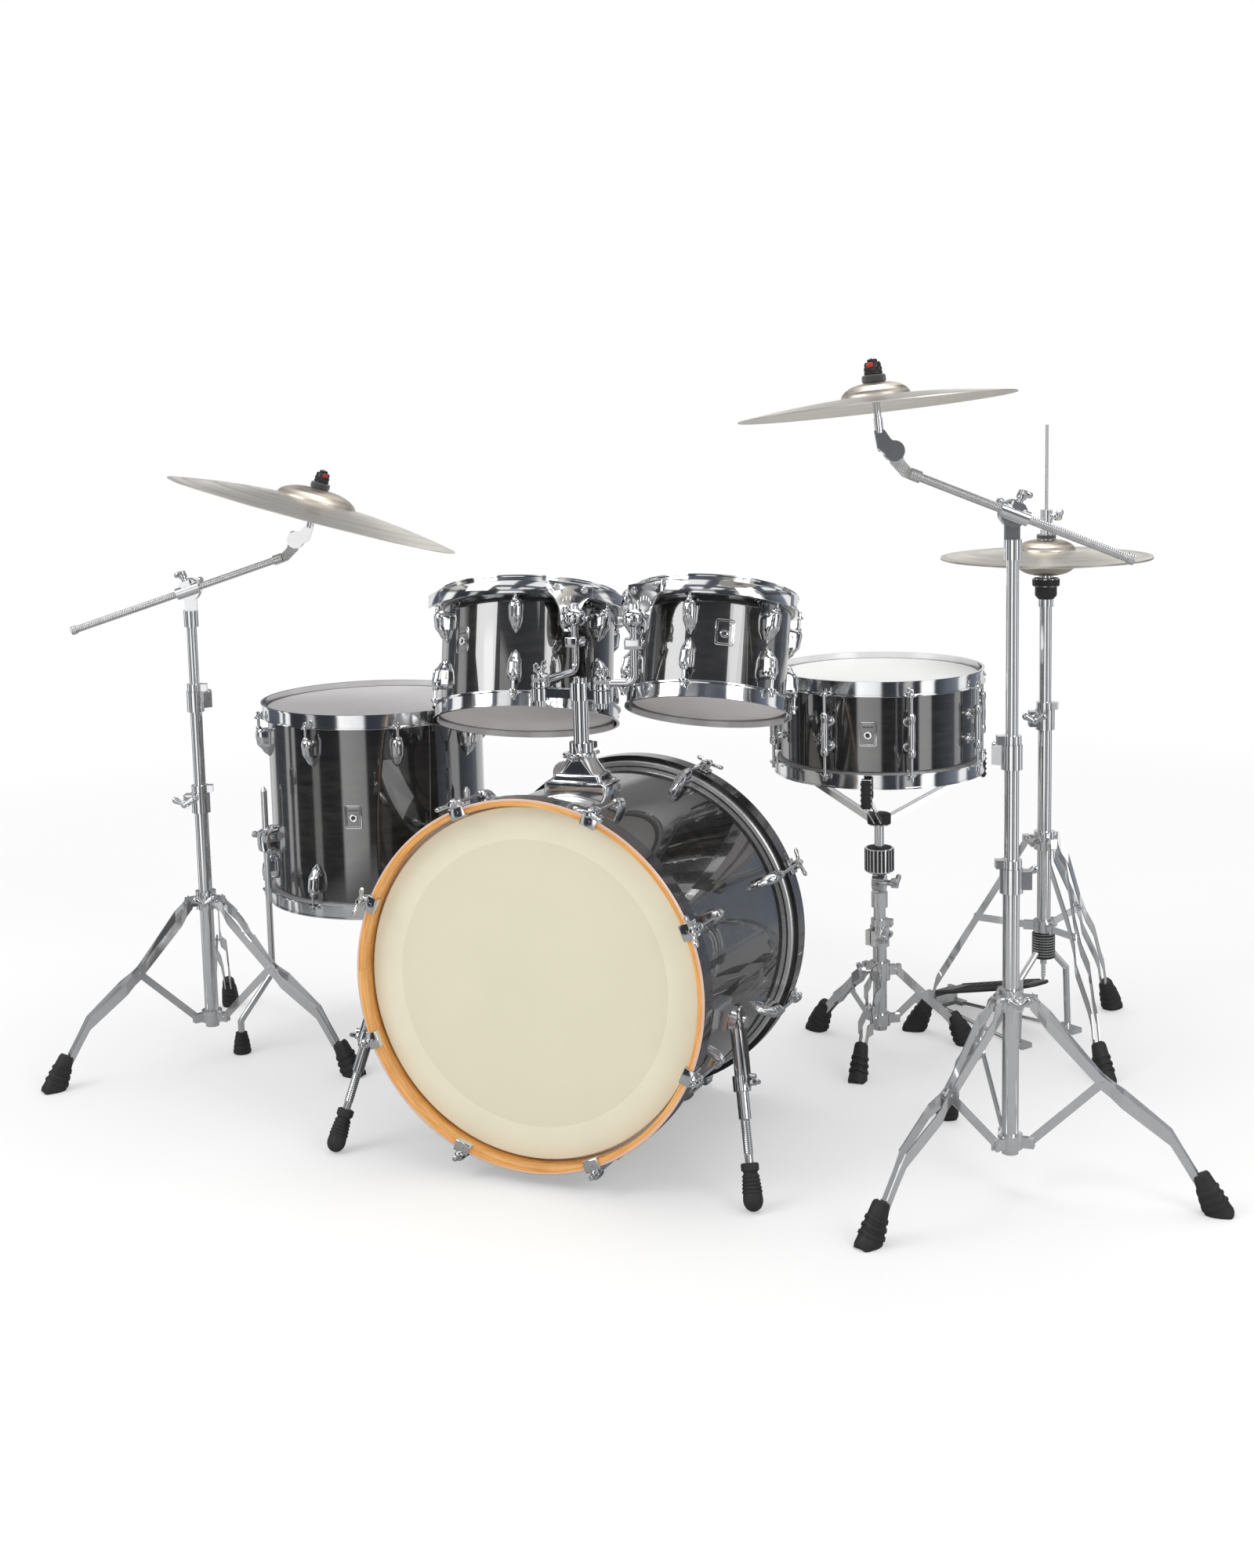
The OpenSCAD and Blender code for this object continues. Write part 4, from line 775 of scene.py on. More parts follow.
def wing_nut(build, place, shank, span, hub=7.5):
    """A wing bolt along X: turned hub and two rounded lobes."""
    build.solid([(hub - 2.2, -1), (hub - 2.2, shank - 1), (hub, shank), (hub + 0.4, shank + 3),
                 (hub, shank + 8), (hub - 1.6, shank + 12.2), (hub - 4, shank + 13.4)],
                 place @ turn(90, "Y"), 24)
    for s in (-1, 1):
        lobe(build, place @ move(shank + 8, 0, 0) @ turn(62 * s, "X"),
             [(0, 5.0), (0.5, 5.0), (0.85, 5.0), (1, 3.0)],
             [(0, 3.6), (0.35, 4.6), (0.7, 6.6), (0.9, 5.6), (1, 2.6)], 2, span / 2 + 1.4, 1, 16)


def gear(build, place, inner, outer, teeth, low, high):
    outline = []
    for k in range(teeth * 2):
        a = math.pi * k / teeth
        rad = outer if k % 2 else inner
        outline.append((rad * math.cos(a), rad * math.sin(a)))
    build.prism(outline, low, high, place)


# ---- bass drum fittings


def claw(build, place, handle):
    outline = [
        (HOOP_IN - 4, EDGE_IN - 9), (HOOP_IN - 0.6, EDGE_IN - 9), (HOOP_IN - 0.6, EDGE_IN + 0.2),
        (HOOP_OUT + 0.2, EDGE_IN + 0.2), (HOOP_OUT + 0.2, 2), (HOOP_OUT + 3.6, 2),
        (HOOP_OUT + 3.6, EDGE_IN + 1.6), (HOOP_OUT + 1.6, EDGE_IN + 3.7),
        (HOOP_IN - 2, EDGE_IN + 3.7), (HOOP_IN - 4, EDGE_IN + 2)
    ]
    flat = place @ Matrix(((1, 0, 0, 0), (0, 0, 1, 0), (0, 1, 0, 0), (0, 0, 0, 1)))
    build.prism(outline, -13, 13, flat, 0.7)
    side = place @ move(CLAW_ROD, 0, 0)
    build.solid([(6.2, 9), (7.6, 12), (8.2, 20), (8.2, EDGE_IN + 2), (7, EDGE_IN + 5.4)], side, 24)
    build.prism(round_outline(5.5, 7.5, 2), 10, EDGE_IN + 3, side @ move(-5.5, 0, 0), 0.8)
    build.solid([(2.8, -84), (2.8, 10)], side, 16)
    build.lathe([(0, EDGE_IN + 5), (6.4, EDGE_IN + 5), (6.4, EDGE_IN + 7), (4.6, EDGE_IN + 8),
                 (4.6, EDGE_IN + 13), (0, EDGE_IN + 14)], side, 20)
    build.lathe([(0, 0), (1.4, 0.2), (2.6, 1.2), (2.6, 2.2), (0, 2.2)],
                place @ move(HOOP_OUT - 6, 0, EDGE_IN + 3.4), 16)
    if handle:
        for s in (-1, 1):
            lobe(build, side @ move(0, 0, EDGE_IN + 9) @ turn(68 * s, "X"),
                 [(0, 3.4), (0.6, 3.2), (0.85, 3.8), (1, 2.2)],
                 [(0, 3.2), (0.4, 3.0), (0.75, 5.6), (0.92, 5.0), (1, 2.4)], 1, 27)
        build.lathe([(0, 12), (4.2, 12), (5.4, 16), (4.4, 19.5), (0, 20.5)],
                    side @ move(0, 0, EDGE_IN), 20)
    else:
        build.block((-3.3, -3.3, EDGE_IN + 12), (3.3, 3.3, EDGE_IN + 19.3), side, 0.9)


claws = Build()
bass_lugs = Build()
for end in (front_end, rear_end):
    for i in range(8):
        angle = (i + 0.5) * 45
        spin = turn(angle, "Z")
        claw(claws, end @ spin, math.sin(math.radians(angle)) > 0)
        reach = CLAW_ROD - BASS_R + 6.5
        lug_body(bass_lugs, end @ spin, BASS_R, reach, -62, 57, 21)
        bass_lugs.solid([(6, -63), (6, -59.5), (4.6, -57.5)], end @ spin @ move(CLAW_ROD, 0, 0), 20)
rings = Build()
for end in (front_end, rear_end):
    rings.lathe([(BASS_R + 1.6, -18), (BASS_R + 7.6, -18), (BASS_R + 9.2, -16.4),
                 (BASS_R + 9.2, -10.1), (BASS_R + 1.6, -10.1)], end, 144)
rings.piece("bass_flesh_rings", "kit", STEEL, "chrome")
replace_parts(claws.piece("bass_claw_set", "kit", CHROME, "chrome"), "bass_claws")
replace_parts(bass_lugs.piece("bass_lug_set", "kit", CHROME, "chrome"), "bass_lugs")


def mount_base():
    """Flared stepped base of the tom post, sunk a little into the shell's top."""
    build = Build()
    at = move(0, POST_Y, 0)
    stack = [(574, 56, 34, 6), (596, 56, 34, 6), (600, 55, 33, 6), (601.5, 52, 31, 6),
             (602.5, 46, 29, 6), (607, 43.5, 27.5, 7), (613, 42.5, 27, 8), (615, 40, 26, 9),
             (616, 35, 25, 10), (622, 31, 24, 12), (630, 27, 23, 15), (637, 24, 22, 17),
             (640, 22.6, 22, 19), (641, 24, 24, 23.9), (647, 24, 24, 23.9), (649, 22, 22, 21.9)]
    build.loft([[(x, y, z) for x, y in round_outline(a, b, c, 7)] for z, a, b, c in stack], at)
    piece = build.piece("tom_base", "kit", CHROME, "chrome", 25)
    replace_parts(piece, "tom_mount_base")
    bolts = Build()
    for x in (-46, 46):
        for y in (-24, 24):
            bolts.solid([(5, 599), (5, 602.6), (3.6, 604)], at @ move(x, y, 0), 18)
    wing_nut(bolts, at @ move(0, -20, 643) @ turn(-90, "Z"), 8, 34, 6)
    bolts.piece("tom_base_bolts", "kit", CHROME, "chrome")


mount_base()


def arm(name, jaw_x, tom, loops):
    """Tom arm: jaw with its screw, one smooth bent rod, the ball and the clamp block."""
    build = Build()
    ball = tom["ball"]
    jaw = Vector((jaw_x, POST_Y, 0))
    way = Vector((ball.x - jaw.x, ball.y - jaw.y, 0))
    reach = way.length
    way.normalize()
    rod_z = 763
    bend = 16
    path = [jaw + Vector((0, 0, rod_z)), jaw + way * (reach - bend) + Vector((0, 0, rod_z))]
    for k in range(1, 10):
        a = math.radians(10 * k)
        path.append(jaw + way * (reach - bend + bend * math.sin(a))
                    + Vector((0, 0, rod_z + bend * (1 - math.cos(a)))))
    path.append(Vector((ball.x, ball.y, ball.z - 4)))
    build.tube(path, 6.35, steps=24)
    build.lathe([(0, -13)] + arc_points((0, 0), 13, -80, 80, 17) + [(0, 13)],
                Matrix.Translation(ball), 32)
    side = Matrix.Translation(ball) @ turn(math.degrees(math.atan2(way.y, way.x)), "Z")
    build.prism(round_outline(15, 12, 2.5), -50, -33, side, 1.4)
    for s in (-8, 8):
        build.prism(arc_points((0, 0), 4.6, 0, 300, 6), 10, 16.5,
                    side @ move(0, s, -41.5) @ turn(90, "Y"), 0.6)
    at = Matrix.Translation(jaw)
    build.solid([(13, 752.4), (15, 754), (15, 760), (14, 762), (14, 764), (15, 766), (15, 772),
                 (12.5, 775), (7, 776), (6, 777), (6, 788)], at, 36)
    bar = at @ move(0, 0, 783.5)
    build.tube([(0, -20, 0), (0, -16, 0.4), (0, 16, 0.4), (0, 20, 0)], [3.4, 4.2, 4.2, 3.4],
               bar, 14)
    if loops:
        for s in (-1, 1):
            loop = [(0, s * 15, 2), (0, s * 22, 2), (0, s * 23, 9), (0, s * 17, 11),
                    (0, s * 9, 9), (0, s * 8, 2)]
            build.tube(loop, 1.6, bar, 10, closed=True)
    piece = build.piece(name, name + "_arm", CHROME, "chrome")
    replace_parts(piece, name + "_arm")


arm("tom_left", -71, TOMS["tom_left"], True)
arm("tom_right", 39, TOMS["tom_right"], False)


# ---- bass drum spurs


def spur_pieces(side, body):
    """Black outer arm with a bright edge, lock screw, and the ribbed rubber foot."""
    low = math.radians(-9)
    pivot = in_bass @ Vector((side * 312 * math.cos(low), 312 * math.sin(low), -110))
    foot = Vector((side * 362, BASS_Y + 15, 15))
    way = (foot - pivot).normalized()
    spin = -9 if side > 0 else 189
    out = (in_bass @ turn(spin, "Z") @ move(0, 0, -110)).to_3x3() @ Vector((1, 0, 0))
    out = (out - way * out.dot(way)).normalized()
    across = way.cross(out)
    if Matrix((across, way, out)).determinant() < 0:
        across = -across
    place = Matrix((across, way, out)).transposed().to_4x4()
    place.translation = pivot
    half = [(17, -6), (19, 4), (16.5, 20), (13.4, 48), (12.4, 80), (12.4, 98), (9, 104)]
    edge = half + [(-x, y) for x, y in reversed(half)]
    edge += arc_points((0, -4), 17, 190, 350, 9)
    inner = [(x * 0.8, y * 0.965 + 1) for x, y in edge]
    bright = Build()
    bright.prism(edge, 6.5, 12.6, place, 1.2)
    tube = aim(pivot, way)
    bright.lathe([(10, 84), (13.5, 85), (13.5, 108), (10, 109)], tube, 32)
    bright.solid([(5.4, 0), (5.4, 14), (4, 15)], place @ move(0, 96, 9), 20)
    bright.tube([(-15, 0, 0), (-12, 0, 0), (12, 0, 0), (15, 0, 0)], [3, 3.8, 3.8, 3],
                place @ move(0, 96, 24), 12)
    rings = [(6.4, 150)]
    for k in range(16):
        rings += [(7.3, 152 + 3.2 * k), (6.7, 153.6 + 3.2 * k)]
    rings += [(6.4, 204), (6.0, 204), (6.0, 150)]
    bright.lathe(rings, tube, 24)
    bright.piece(body + "_arm", body, CHROME, "chrome")
    dark = Build()
    dark.prism(inner, 12.4, 13.8, place, 0.5)
    dark.piece(body + "_inlay", body, IRON, "black_metal")
    rubber = Build()
    long = (foot - pivot).length
    profile = [(0, long - 58), (11, long - 58), (13.8, long - 56.5), (13.8, long - 47),
               (11.8, long - 45.5), (10.6, long - 43)]
    for k in range(5):
        z = long - 40 + 5.6 * k
        wide = 12.2 + 0.55 * k
        profile += [(wide, z), (wide + 1.2, z + 1.4), (wide + 1.2, z + 3.4), (wide, z + 4.6)]
    profile += [(15.0, long - 8), (15.4, long - 2), (14.2, long + 4), (11, long + 9.4),
                (6, long + 13), (0, long + 14.3)]
    rubber.lathe(profile, tube, 36)
    piece = rubber.piece(body + "_rubber", body, RUBBER, "black_rubber")
    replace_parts(piece, body + "_foot")


spur_pieces(1, "spur_right")
spur_pieces(-1, "spur_left")


# ---- floor tom and snare drum


def floor_tom_fittings():
    build = Build()
    top = in_floor @ move(0, 0, FLOOR_DEPTH)
    drum_lugs(build, top, FLOOR_R, 8, FLOOR_FIRST)
    drum_lugs(build, in_floor @ turn(180, "X"), FLOOR_R, 8, -FLOOR_FIRST)
    for angle in LEG_ANGLES:
        at = move(FLOOR_AT[0], FLOOR_AT[1], 405) @ turn(angle, "Z")
        rings = []
        for z, half, out in ((-27, 9, 10), (-24, 15, 20), (-18, 16, 33), (-8, 14, 35),
                             (8, 14, 35), (18, 16, 33), (24, 15, 20), (27, 9, 10)):
            ring = [(FLOOR_R - 2, -half, z)]
            for k in range(11):
                a = math.pi * (k / 10 - 0.5)
                y = half * bulge(math.sin(a), 0.6)
                ring.append((FLOOR_R + 1 + out * abs(math.cos(a)) ** 0.5, y, z))
            ring.append((FLOOR_R - 2, half, z))
            rings.append(ring)
        build.loft(rings, at)
        wing_nut(build, at @ move(FLOOR_R + 20, -12, 0) @ turn(-90, "Z"), 10, 40)
    piece = build.piece("floor_tom_fittings", "floor_tom", CHROME, "chrome")
    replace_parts(piece, "floor_tom_hardware")


floor_tom_fittings()


def snare_fittings():
    """Double-ended tube lugs on two posts, rods and the strainer's body."""
    build = Build()
    middle = SNARE_DEPTH / 2
    for spin in around(8, SNARE_FIRST):
        tube = in_snare @ spin @ move(SNARE_R + EAR_AT, 0, middle)
        build.solid([(4.2, -39), (6.4, -37), (7.2, -33), (7.2, -27), (6.2, -25), (6.0, -20),
                     (6.6, -6), (6.6, 6), (6.0, 20), (6.2, 25), (7.2, 27), (7.2, 33), (6.4, 37),
                     (4.2, 39)], tube, 24)
        for z in (-22, 22):
            post = in_snare @ spin @ move(SNARE_R - 1, 0, middle + z) @ turn(90, "Y")
            build.solid([(9.5, 0), (9.5, 2.2), (6.4, 3.6), (4.8, 6), (4.6, 18)], post, 22)
    for end, sign in ((in_snare @ move(0, 0, SNARE_DEPTH), 1), (in_snare @ turn(180, "X"), -1)):
        for spin in around(8, sign * SNARE_FIRST):
            at = end @ spin @ move(SNARE_R + EAR_AT, 0, HOOP_FOOT + 2.5)
            build.solid([(2.7, -36), (2.7, 0), (5.6, 0), (6, 0.6), (6, 1.6), (5.2, 2.4),
                         (4.2, 3.4)], at, 18)
            build.block((-3.2, -3.2, 3.2), (3.2, 3.2, 10.4), at, 0.9)
    build.block((SNARE_R - 1, -15, 33), (SNARE_R + 16.5, 15, 109), in_strainer, 3)
    build.block((SNARE_R + 10, -14, 33), (SNARE_R + 20.5, 14, 56), in_strainer, 3)
    build.solid([(6, 0), (7, 2), (7, 12), (5.5, 14)], in_strainer @ move(SNARE_R + 8, 0, 20), 20)
    build.solid([(3.9, 0), (3.9, 11), (2.8, 12)],
                 in_strainer @ move(SNARE_R + 15.5, 0, 92) @ turn(90, "Y"), 18)
    piece = build.piece("snare_fittings", "snare", CHROME, "chrome")
    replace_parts(piece, "snare_hardware")


snare_fittings()


def basket_trim():
    """Rubber grips on the arms, the knurled nut and the hub's black boss."""
    build = Build()
    at = move(*SNARE_AT)
    rest = SNARE_RIM - 2 * RIM_UP - SNARE_DEPTH - 0.4
    grip = SNARE_R + 20
    for angle in (-81, 39, 159):
        arm_place = at @ turn(angle, "Z")
        build.block((grip + 2.9, -9.8, rest - 31), (grip + 14.2, 9.8, rest + 22.6), arm_place, 3)
        build.block((grip - 16.6, -9.8, rest - 15), (grip + 6, 9.8, rest - 0.6), arm_place, 2)
        for k in range(5):
            z = rest - 26 + 9.5 * k
            build.block((grip + 12, -9.9, z), (grip + 15, 9.9, z + 4), arm_place, 1)
    gear(build, at, 25.4, 27.2, 22, 346, 386)
    build.lathe([(9.2, 340), (22, 342), (24.6, 346), (24.6, 386), (22, 389), (9.2, 390)], at, 40)
    build.lathe([(9.2, 431), (19, 431), (21.6, 434), (21.6, 450.4), (19, 452), (0, 452),
                 (0, 448), (9.2, 448)], at, 40)
    build.piece("snare_basket_trim", "snare", RUBBER, "black_rubber")


basket_trim()


# ---- rubber shoes


def shoe(build, place, reach):
    """A boot that widens to a flat sole, with stepped ribs across it."""
    top = Vector((reach - 29, 62))
    low = Vector((reach + 3, -4))
    along = (low - top).normalized()
    out = Vector((-along.y, along.x))
    rings = []
    stops = [(0.0, 0.86), (0.05, 1.0), (0.30, 1.0), (0.31, 1.12), (0.38, 1.12), (0.39, 1.0),
             (0.46, 1.0), (0.47, 1.12), (0.54, 1.12), (0.55, 1.0), (0.62, 1.0), (0.63, 1.11),
             (0.70, 1.11), (0.71, 1.0), (0.80, 1.0), (0.9, 1.02), (1.0, 0.92), (1.06, 0.6)]
    for t, size in stops:
        mid = top.lerp(low, t)
        half = (12 + 10.5 * t) * size
        wide = (11.5 + 5.2 * t) * size
        ring = []
        for k in range(24):
            a = 2 * math.pi * k / 24
            u = half * bulge(math.cos(a), 0.7)
            v = wide * bulge(math.sin(a), 0.7)
            spot = mid + out * u + along * (abs(v) * 0.28)
            ring.append((spot.x, v, max(spot.y, 0.0)))
        rings.append(ring)
    build.loft(rings, place)


shoes = Build()
TRIPODS = ((STANDS["left"]["at"], 311, 237.3), (STANDS["right"]["at"], 311, 241.1),
           (HIHAT_AT, 243, 187), (SNARE_AT, 168, 151.3))
for at, reach, first in TRIPODS:
    for spin in around(3, first):
        shoe(shoes, move(*at) @ spin, reach)
for angle in LEG_ANGLES:
    foot = move(*FLOOR_AT) @ turn(angle, "Z") @ move(FLOOR_R + 85, 0, 0)
    shoes.solid([(15.6, 0), (17, 2), (16.6, 7), (15.4, 8), (15.4, 10), (16, 11), (15.4, 16),
                 (14.2, 17), (14.2, 19), (14.8, 20), (14.2, 25), (13, 26), (12.4, 33), (11, 35),
                 (11, 40), (9, 41), (6.1, 41), (6.1, 34)], foot, 32)
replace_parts(shoes.piece("rubber_shoes", "kit", RUBBER, "black_rubber"), "rubber_feet")


# ---- wing bolts on the stands

wings = {}


def wing_at(body, place, shank, span):
    wing_nut(wings.setdefault(body, Build()), place, shank, span)


for (at, reach, first), height in zip(TRIPODS, (303, 303, 383, 155)):
    wing_at("kit", move(*at) @ turn(first + 60, "Z") @ move(16, 0, height), 11, 40)
for (at, reach, first), height, angle in zip(TRIPODS, (490, 490, 612, 222), (200, 20, 200, 250)):
    wing_at("kit", move(*at) @ turn(angle, "Z") @ move(23.7, 9, height) @ turn(90, "Z"), 10, 46)
for side, stand in STANDS.items():
    wing_at(side + "_mid_tube",
            stand["place"] @ turn(35, "Z") @ move(22.1, 9, 680) @ turn(90, "Z"), 10, 46)
    wing_at(side + "_boom_clamp", stand["in_boom"] @ move(0, 16, 0) @ turn(90, "Z"), 6, 50)
    wing_at(side + "_boom_clamp", stand["in_boom"] @ move(0, -12, 14) @ turn(-90, "Y"), 10, 34)
    wing_at(side + "_tilter", stand["tilter"] @ move(0, 14, 0) @ turn(90, "Z"), 5, 38)
    flat = turn(-90, "X")
    gear(wings[side + "_boom_clamp"], stand["in_boom"] @ flat, 19.6, 20.6, 40, -6, -0.5)
    gear(wings[side + "_tilter"], stand["tilter"] @ flat, 14.8, 15.7, 32, -5, -0.5)
wing_at("snare", move(*SNARE_AT) @ move(18, 0, 322), 5, 42)
wing_at("hihat_rod", move(*HIHAT_AT) @ move(9, 0, HAT_CROWN + 42), 6, 32)
for body, build in wings.items():
    build.piece(body + "_wing_bolts", body, CHROME, "chrome")


# ---- cymbal seats


def cymbal_top(side, stand):
    """Sleeve and washer, two wool felts, and the black quick-release nut."""
    body = side + "_tilter"
    place = stand["cymbal"]
    metal = Build()
    metal.lathe([(3.1, 50.2), (5.4, 50.2), (5.4, 82), (12.4, 82), (13, 82.6), (13, 84.4),
                 (12.4, 85), (5.4, 85), (5.4, 110), (3.1, 110)], place, 32)
    metal.piece(side + "_sleeve", body, CHROME, "chrome")
    felt = Build()
    felt.lathe([(5.6, 85.2), (11, 85.2), (12.2, 87), (12.2, 96.6), (11, 98.8), (5.6, 98.8)],
               place, 40)
    felt.lathe([(5.6, 101.5), (16, 101.5), (17.6, 103.5), (17.6, 110.5), (16, 112.6),
                (5.6, 112.6)], place, 48)
    piece = felt.piece(side + "_felt_pair", body, FELT, "grey_felt")
    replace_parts(piece, side + "_felts")
    nut = Build()
    nut.lathe([(3.1, 113), (12.4, 113), (13.4, 114), (13.4, 117), (12.2, 118), (12.2, 128),
               (10.8, 131), (3.1, 131)], place, 40)
    gear(nut, place, 12.3, 13.2, 20, 118.6, 123)
    nut.lathe([(3.1, 130), (7.4, 130), (7.4, 134), (6.4, 135.4), (3.1, 135.4)], place, 28)
    nut.piece(side + "_quick_nut", body, PLASTIC, "black_metal")
    button = Build()
    for angle in (-60, 120):
        button.block((9.5, -5.2, 123.4), (13.6, 5.2, 130.2), place @ turn(angle, "Z"), 1.2)
    button.piece(side + "_nut_button", body, RED, "black_metal")


for side, stand in STANDS.items():
    cymbal_top(side, stand)


# ---- hi-hat


def hihat_trim():
    at = move(*HIHAT_AT)
    seat = 828
    cup = Build()
    cup.lathe([(14, seat + 6), (19.4, seat + 12), (19.8, seat + 15), (19.8, seat + 28),
               (24.6, seat + 31), (24.9, seat + 42), (22, seat + 44.6), (14, seat + 44.6)],
              at, 40)
    cup.piece("hihat_seat_cup", "hihat_tube", PLASTIC, "black_metal")
    housing = Build()
    profile = [(12.9, 158), (20, 158), (21.8, 160)]
    for k in range(8):
        profile += [(21.8, 162 + 5 * k), (21.0, 163 + 5 * k), (21.0, 165 + 5 * k)]
    profile += [(21.8, 203), (20, 206), (12.9, 206)]
    housing.lathe(profile, at, 40)
    housing.piece("hihat_spring_housing", "kit", PLASTIC, "black_metal")
    felts = Build()
    felts.lathe([(7.2, HAT_CROWN + 0.4), (16, HAT_CROWN + 0.4), (17.4, HAT_CROWN + 2),
                 (17.4, HAT_CROWN + 8), (16, HAT_CROWN + 9.6), (7.2, HAT_CROWN + 9.6)], at, 40)
    felts.piece("hihat_felt", "hihat_rod", FELT, "grey_felt")
    chain = Build()
    for k in range(6):
        z = 120 + 5.2 * k
        chain.block((-3.2, -6.5, z), (3.2, -4.0, z + 4.4), at, 0.8)
        chain.block((-3.2, 4.0, z), (3.2, 6.5, z + 4.4), at, 0.8)
        chain.tube([(0, -6, z + 2.2), (0, 6, z + 2.2)], 2.2, at, 10)
    chain.piece("hihat_chain", "hihat_rod", STEEL, "steel_wire")


def footboard():
    """A cast board with rounded corners, raised treads and a hinged heel block."""
    place = move(*HIHAT_AT) @ turn(147.8, "Z") @ move(268, 0, 22)
    board = place @ turn(16, "Y")
    build = Build()
    outline = [(-18, -40), (-18, 40), (-60, 42), (-205, 42), (-245, 38), (-268, 28), (-275.5, 14),
               (-275.5, -14), (-268, -28), (-245, -38), (-205, -42), (-60, -42)]
    build.prism(outline, 4, 10, board, 1.6)
    build.block((-22, -24, 0), (0, 24, 10), board, 2)
    build.tube([(0, -33, 0), (0, 33, 0)], 4, place, 18)
    for k in range(9):
        x = -70 - 20 * k
        half = 34 if k < 7 else 28
        build.tube([(x, -half, 10), (x - 6, 0, 10.6), (x, half, 10)], 1.6, board, 8)
    for y in (-37, 37):
        build.tube([(-24, y, 10), (-208, y, 10), (-240, y * 0.9, 10)], 1.8, board, 8)
    piece = build.piece("hihat_pedal_board", "hihat_footboard", IRON, "black_metal")
    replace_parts(piece, "hihat_footboard")


hihat_trim()
footboard()


# ---- room, light and camera


FAR = 60000


def pale_floor():
    n = Nodes("pale_floor")
    _, radius, _ = n.polar(n.coords())
    n.colour(n.between(n.noise(n.coords(), 1.3, 3), grey(0.93), grey(0.95)))
    n.set(Roughness=0.75, Specular_IOR_Level=0.2)
    glow = n.new("ShaderNodeEmission").outputs[0]
    seen = n.join(n.range(radius, 1.3, 3.6, 0.35, 1.0), n.shader.outputs[0], glow)
    dim = n.made("ShaderNodeBsdfDiffuse", 0, {"Color": (0.32, 0.325, 0.33)})
    clear = n.new("ShaderNodeBsdfTransparent").outputs[0]
    mirrored = n.join(n.range(radius, 1.5, 1.9, 0, 1), dim, clear)
    glossy = n.new("ShaderNodeLightPath").outputs["Is Glossy Ray"]
    n.feed(n.tree.nodes["Material Output"].inputs["Surface"], n.join(glossy, seen, mirrored))
    build = Build()
    build.add([(-FAR, -FAR, 0), (FAR, -FAR, 0), (FAR, FAR, 0), (-FAR, FAR, 0)], [(0, 1, 2, 3)])
    mesh = build.mesh("floor", closed=False)
    mesh.materials.append(n.mat)
    floor = bpy.data.objects.new("floor", mesh)
    floor.location.z = -0.0005
    bpy.context.scene.collection.objects.link(floor)


def dusk(v):
    return (v * 0.86, v * 0.96, v * 1.18)


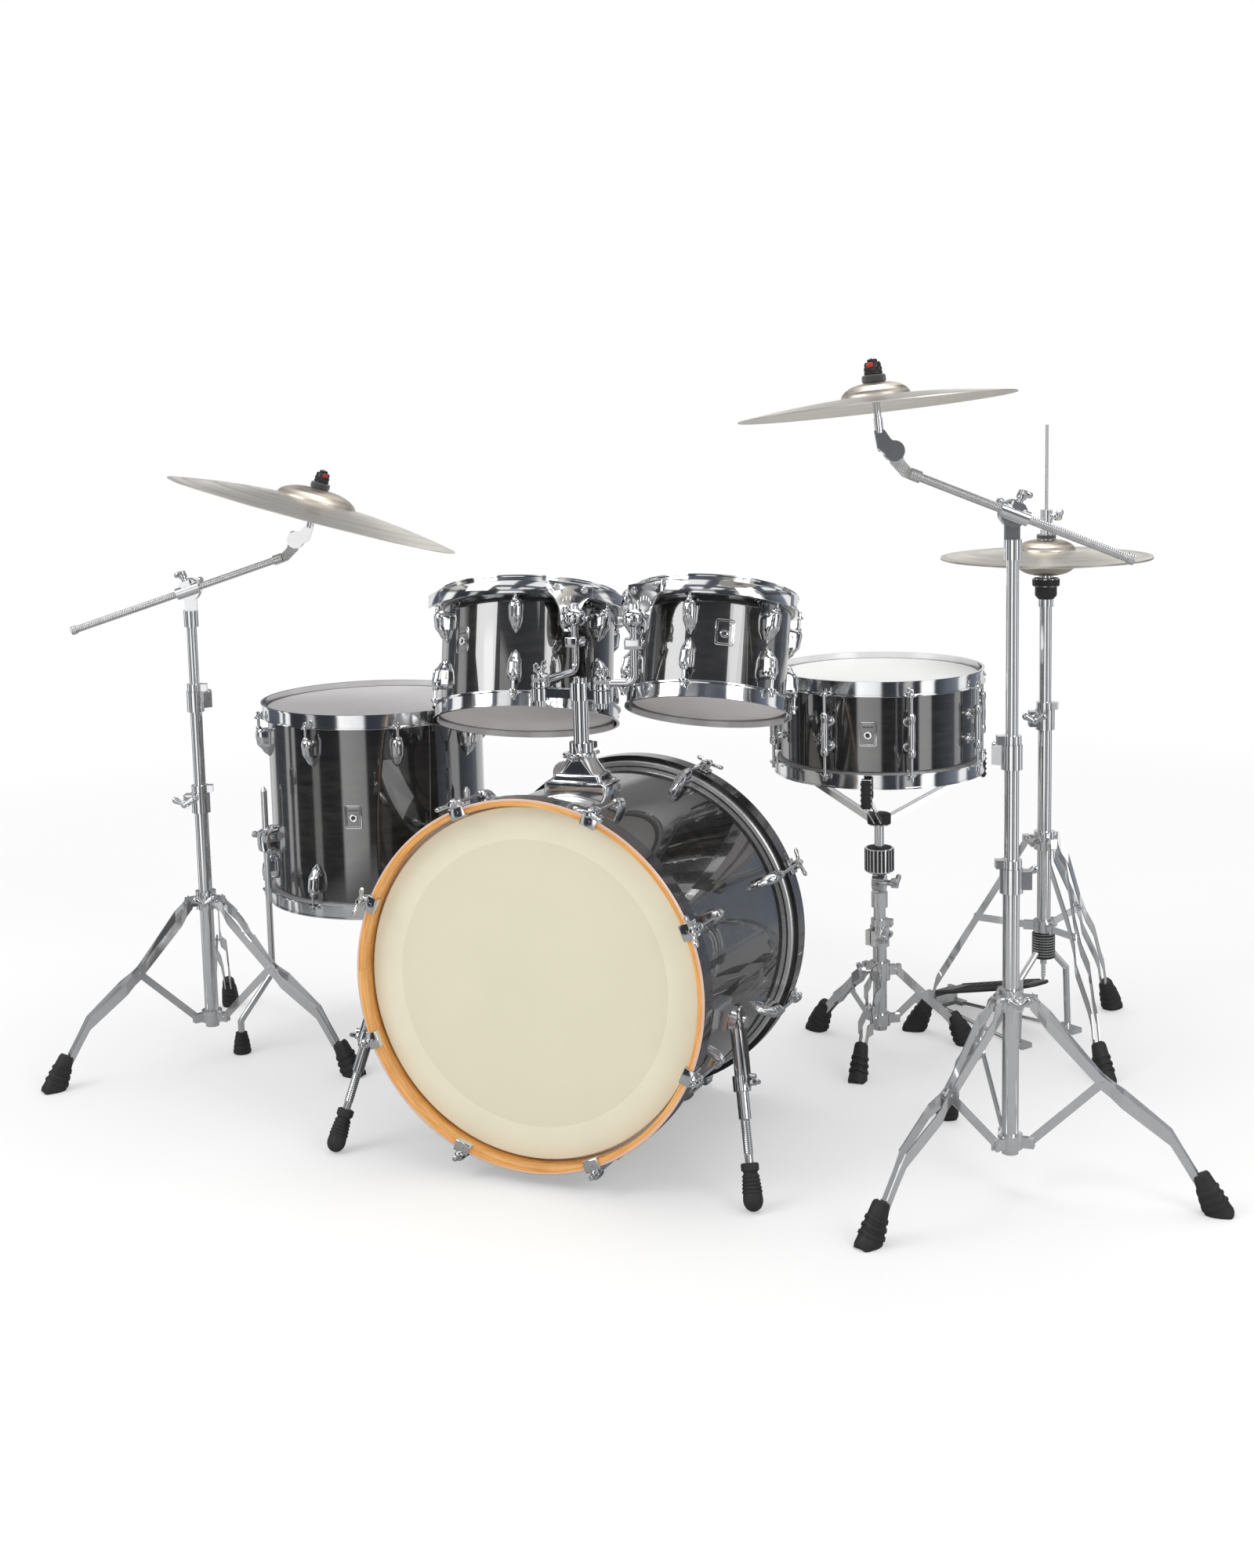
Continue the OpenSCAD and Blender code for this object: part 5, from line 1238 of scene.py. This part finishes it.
def studio_world():
    """White to the eye; for reflections a dim room with upright light banks and a bright top."""
    world = bpy.data.worlds.new("studio")
    bpy.context.scene.world = world
    world.use_nodes = True
    world.node_tree.nodes.clear()
    n = Tree(world.node_tree)
    way = n.new("ShaderNodeTexCoord").outputs["Generated"]
    x, y, height = n.split(way)
    angle = n.math("ARCTAN2", y, x)
    turned = n.math("FRACT", n.math("ADD", n.math("DIVIDE", angle, 2 * math.pi), 0.5))
    banks = n.ramp(turned, [
        (0.000, dusk(0.12)), (0.014, dusk(0.12)), (0.020, grey(1.1)), (0.060, grey(1.1)),
        (0.066, dusk(0.04)), (0.125, dusk(0.04)), (0.132, grey(0.6)), (0.150, grey(0.6)),
        (0.157, dusk(0.04)), (0.220, dusk(0.04)), (0.227, grey(1.25)), (0.296, grey(0.95)),
        (0.303, dusk(0.04)), (0.365, dusk(0.06)), (0.372, grey(0.5)), (0.392, grey(0.5)),
        (0.399, dusk(0.04)), (0.420, dusk(0.04)), (0.425, grey(1.3)), (0.464, grey(1.2)),
        (0.470, dusk(0.04)), (0.560, dusk(0.25)), (0.568, grey(1.0)), (0.600, grey(1.0)),
        (0.608, dusk(0.12)), (0.700, dusk(0.28)), (0.715, grey(0.8)), (0.820, grey(0.7)),
        (0.835, dusk(0.16)), (0.905, grey(0.9)), (0.940, grey(0.9)), (0.950, dusk(0.12)),
    ])
    high = n.math("MAXIMUM", height, 0.05)
    across = n.math("FRACT", n.math("ADD", n.math("DIVIDE", x, high), 0.62))
    along = n.math("FRACT", n.math("ADD", n.times(n.math("DIVIDE", y, high), 0.8), 0.15))
    panel = n.times(n.times(n.range(across, 0.10, 0.14, 0, 1), n.range(across, 0.72, 0.76, 1, 0)),
                    n.times(n.range(along, 0.12, 0.16, 0, 1), n.range(along, 0.76, 0.80, 1, 0)))
    ceiling = n.mix(panel, dusk(0.10), grey(1.0))
    sky = n.mix(n.range(height, 0.34, 0.40, 0, 1), banks, ceiling)
    edge = n.times(n.range(height, 0.22, 0.26, 0, 1), n.range(height, 0.34, 0.38, 1, 0))
    sky = n.mix(n.times(edge, 0.75), sky, grey(0.05))
    sky = n.mix(n.range(height, -0.32, -0.24, 1, 0), sky, grey(0.42))
    path = n.new("ShaderNodeLightPath").outputs
    soft = n.mix(n.range(height, -0.2, 0.9, 0, 1), grey(0.50), grey(0.72))
    sky = n.mix(path["Is Diffuse Ray"], sky, soft)
    room = n.made("ShaderNodeBackground", 0, {"Color": sky, "Strength": 1.0})
    white = n.made("ShaderNodeBackground", 0, {"Color": grey(1.0), "Strength": 1.0})
    surface = n.new("ShaderNodeOutputWorld").inputs["Surface"]
    n.feed(surface, n.join(path["Is Camera Ray"], room, white))


def area_light(name, place, target, width, height, power):
    data = bpy.data.lights.new(name, "AREA")
    data.shape = "RECTANGLE"
    data.size = width
    data.size_y = height
    data.energy = power
    lamp = bpy.data.objects.new(name, data)
    lamp.location = place
    lamp.rotation_euler = (Vector(target) - Vector(place)).to_track_quat("-Z", "Y").to_euler()
    lamp.visible_camera = False
    bpy.context.scene.collection.objects.link(lamp)


def camera():
    data = bpy.data.cameras.new("camera")
    data.lens = 46.28
    data.sensor_width = 36
    data.shift_x = 0.0065
    data.shift_y = -0.0792
    data.clip_end = 200
    cam = bpy.data.objects.new("camera", data)
    yaw = math.radians(22.48)
    pitch = math.radians(8.08)
    roll = math.radians(-1.34)
    ahead = Vector((-math.sin(yaw) * math.cos(pitch), math.cos(yaw) * math.cos(pitch),
                    -math.sin(pitch)))
    level = Vector((math.cos(yaw), math.sin(yaw), 0))
    up = level.cross(ahead)
    right = math.cos(roll) * level + math.sin(roll) * up
    upward = -math.sin(roll) * level + math.cos(roll) * up
    matrix = Matrix((right, upward, -ahead)).transposed().to_4x4()
    matrix.translation = (1.2987, -3.3048, 1.2603)
    cam.matrix_world = matrix
    bpy.context.scene.collection.objects.link(cam)
    bpy.context.scene.camera = cam


pale_floor()
studio_world()
area_light("key", (-2.6, -3.2, 3.4), (0, 0, 0.5), 2.4, 2.4, 70)
area_light("fill", (3.6, -2.2, 2.4), (0, 0, 0.5), 1.6, 2.6, 38)
area_light("top", (0.2, 0.6, 4.2), (0, 0, 0), 3.2, 2.4, 55)
camera()
view = bpy.context.scene.view_settings
view.view_transform = "Standard"
view.look = "None"
view.exposure = 0.0
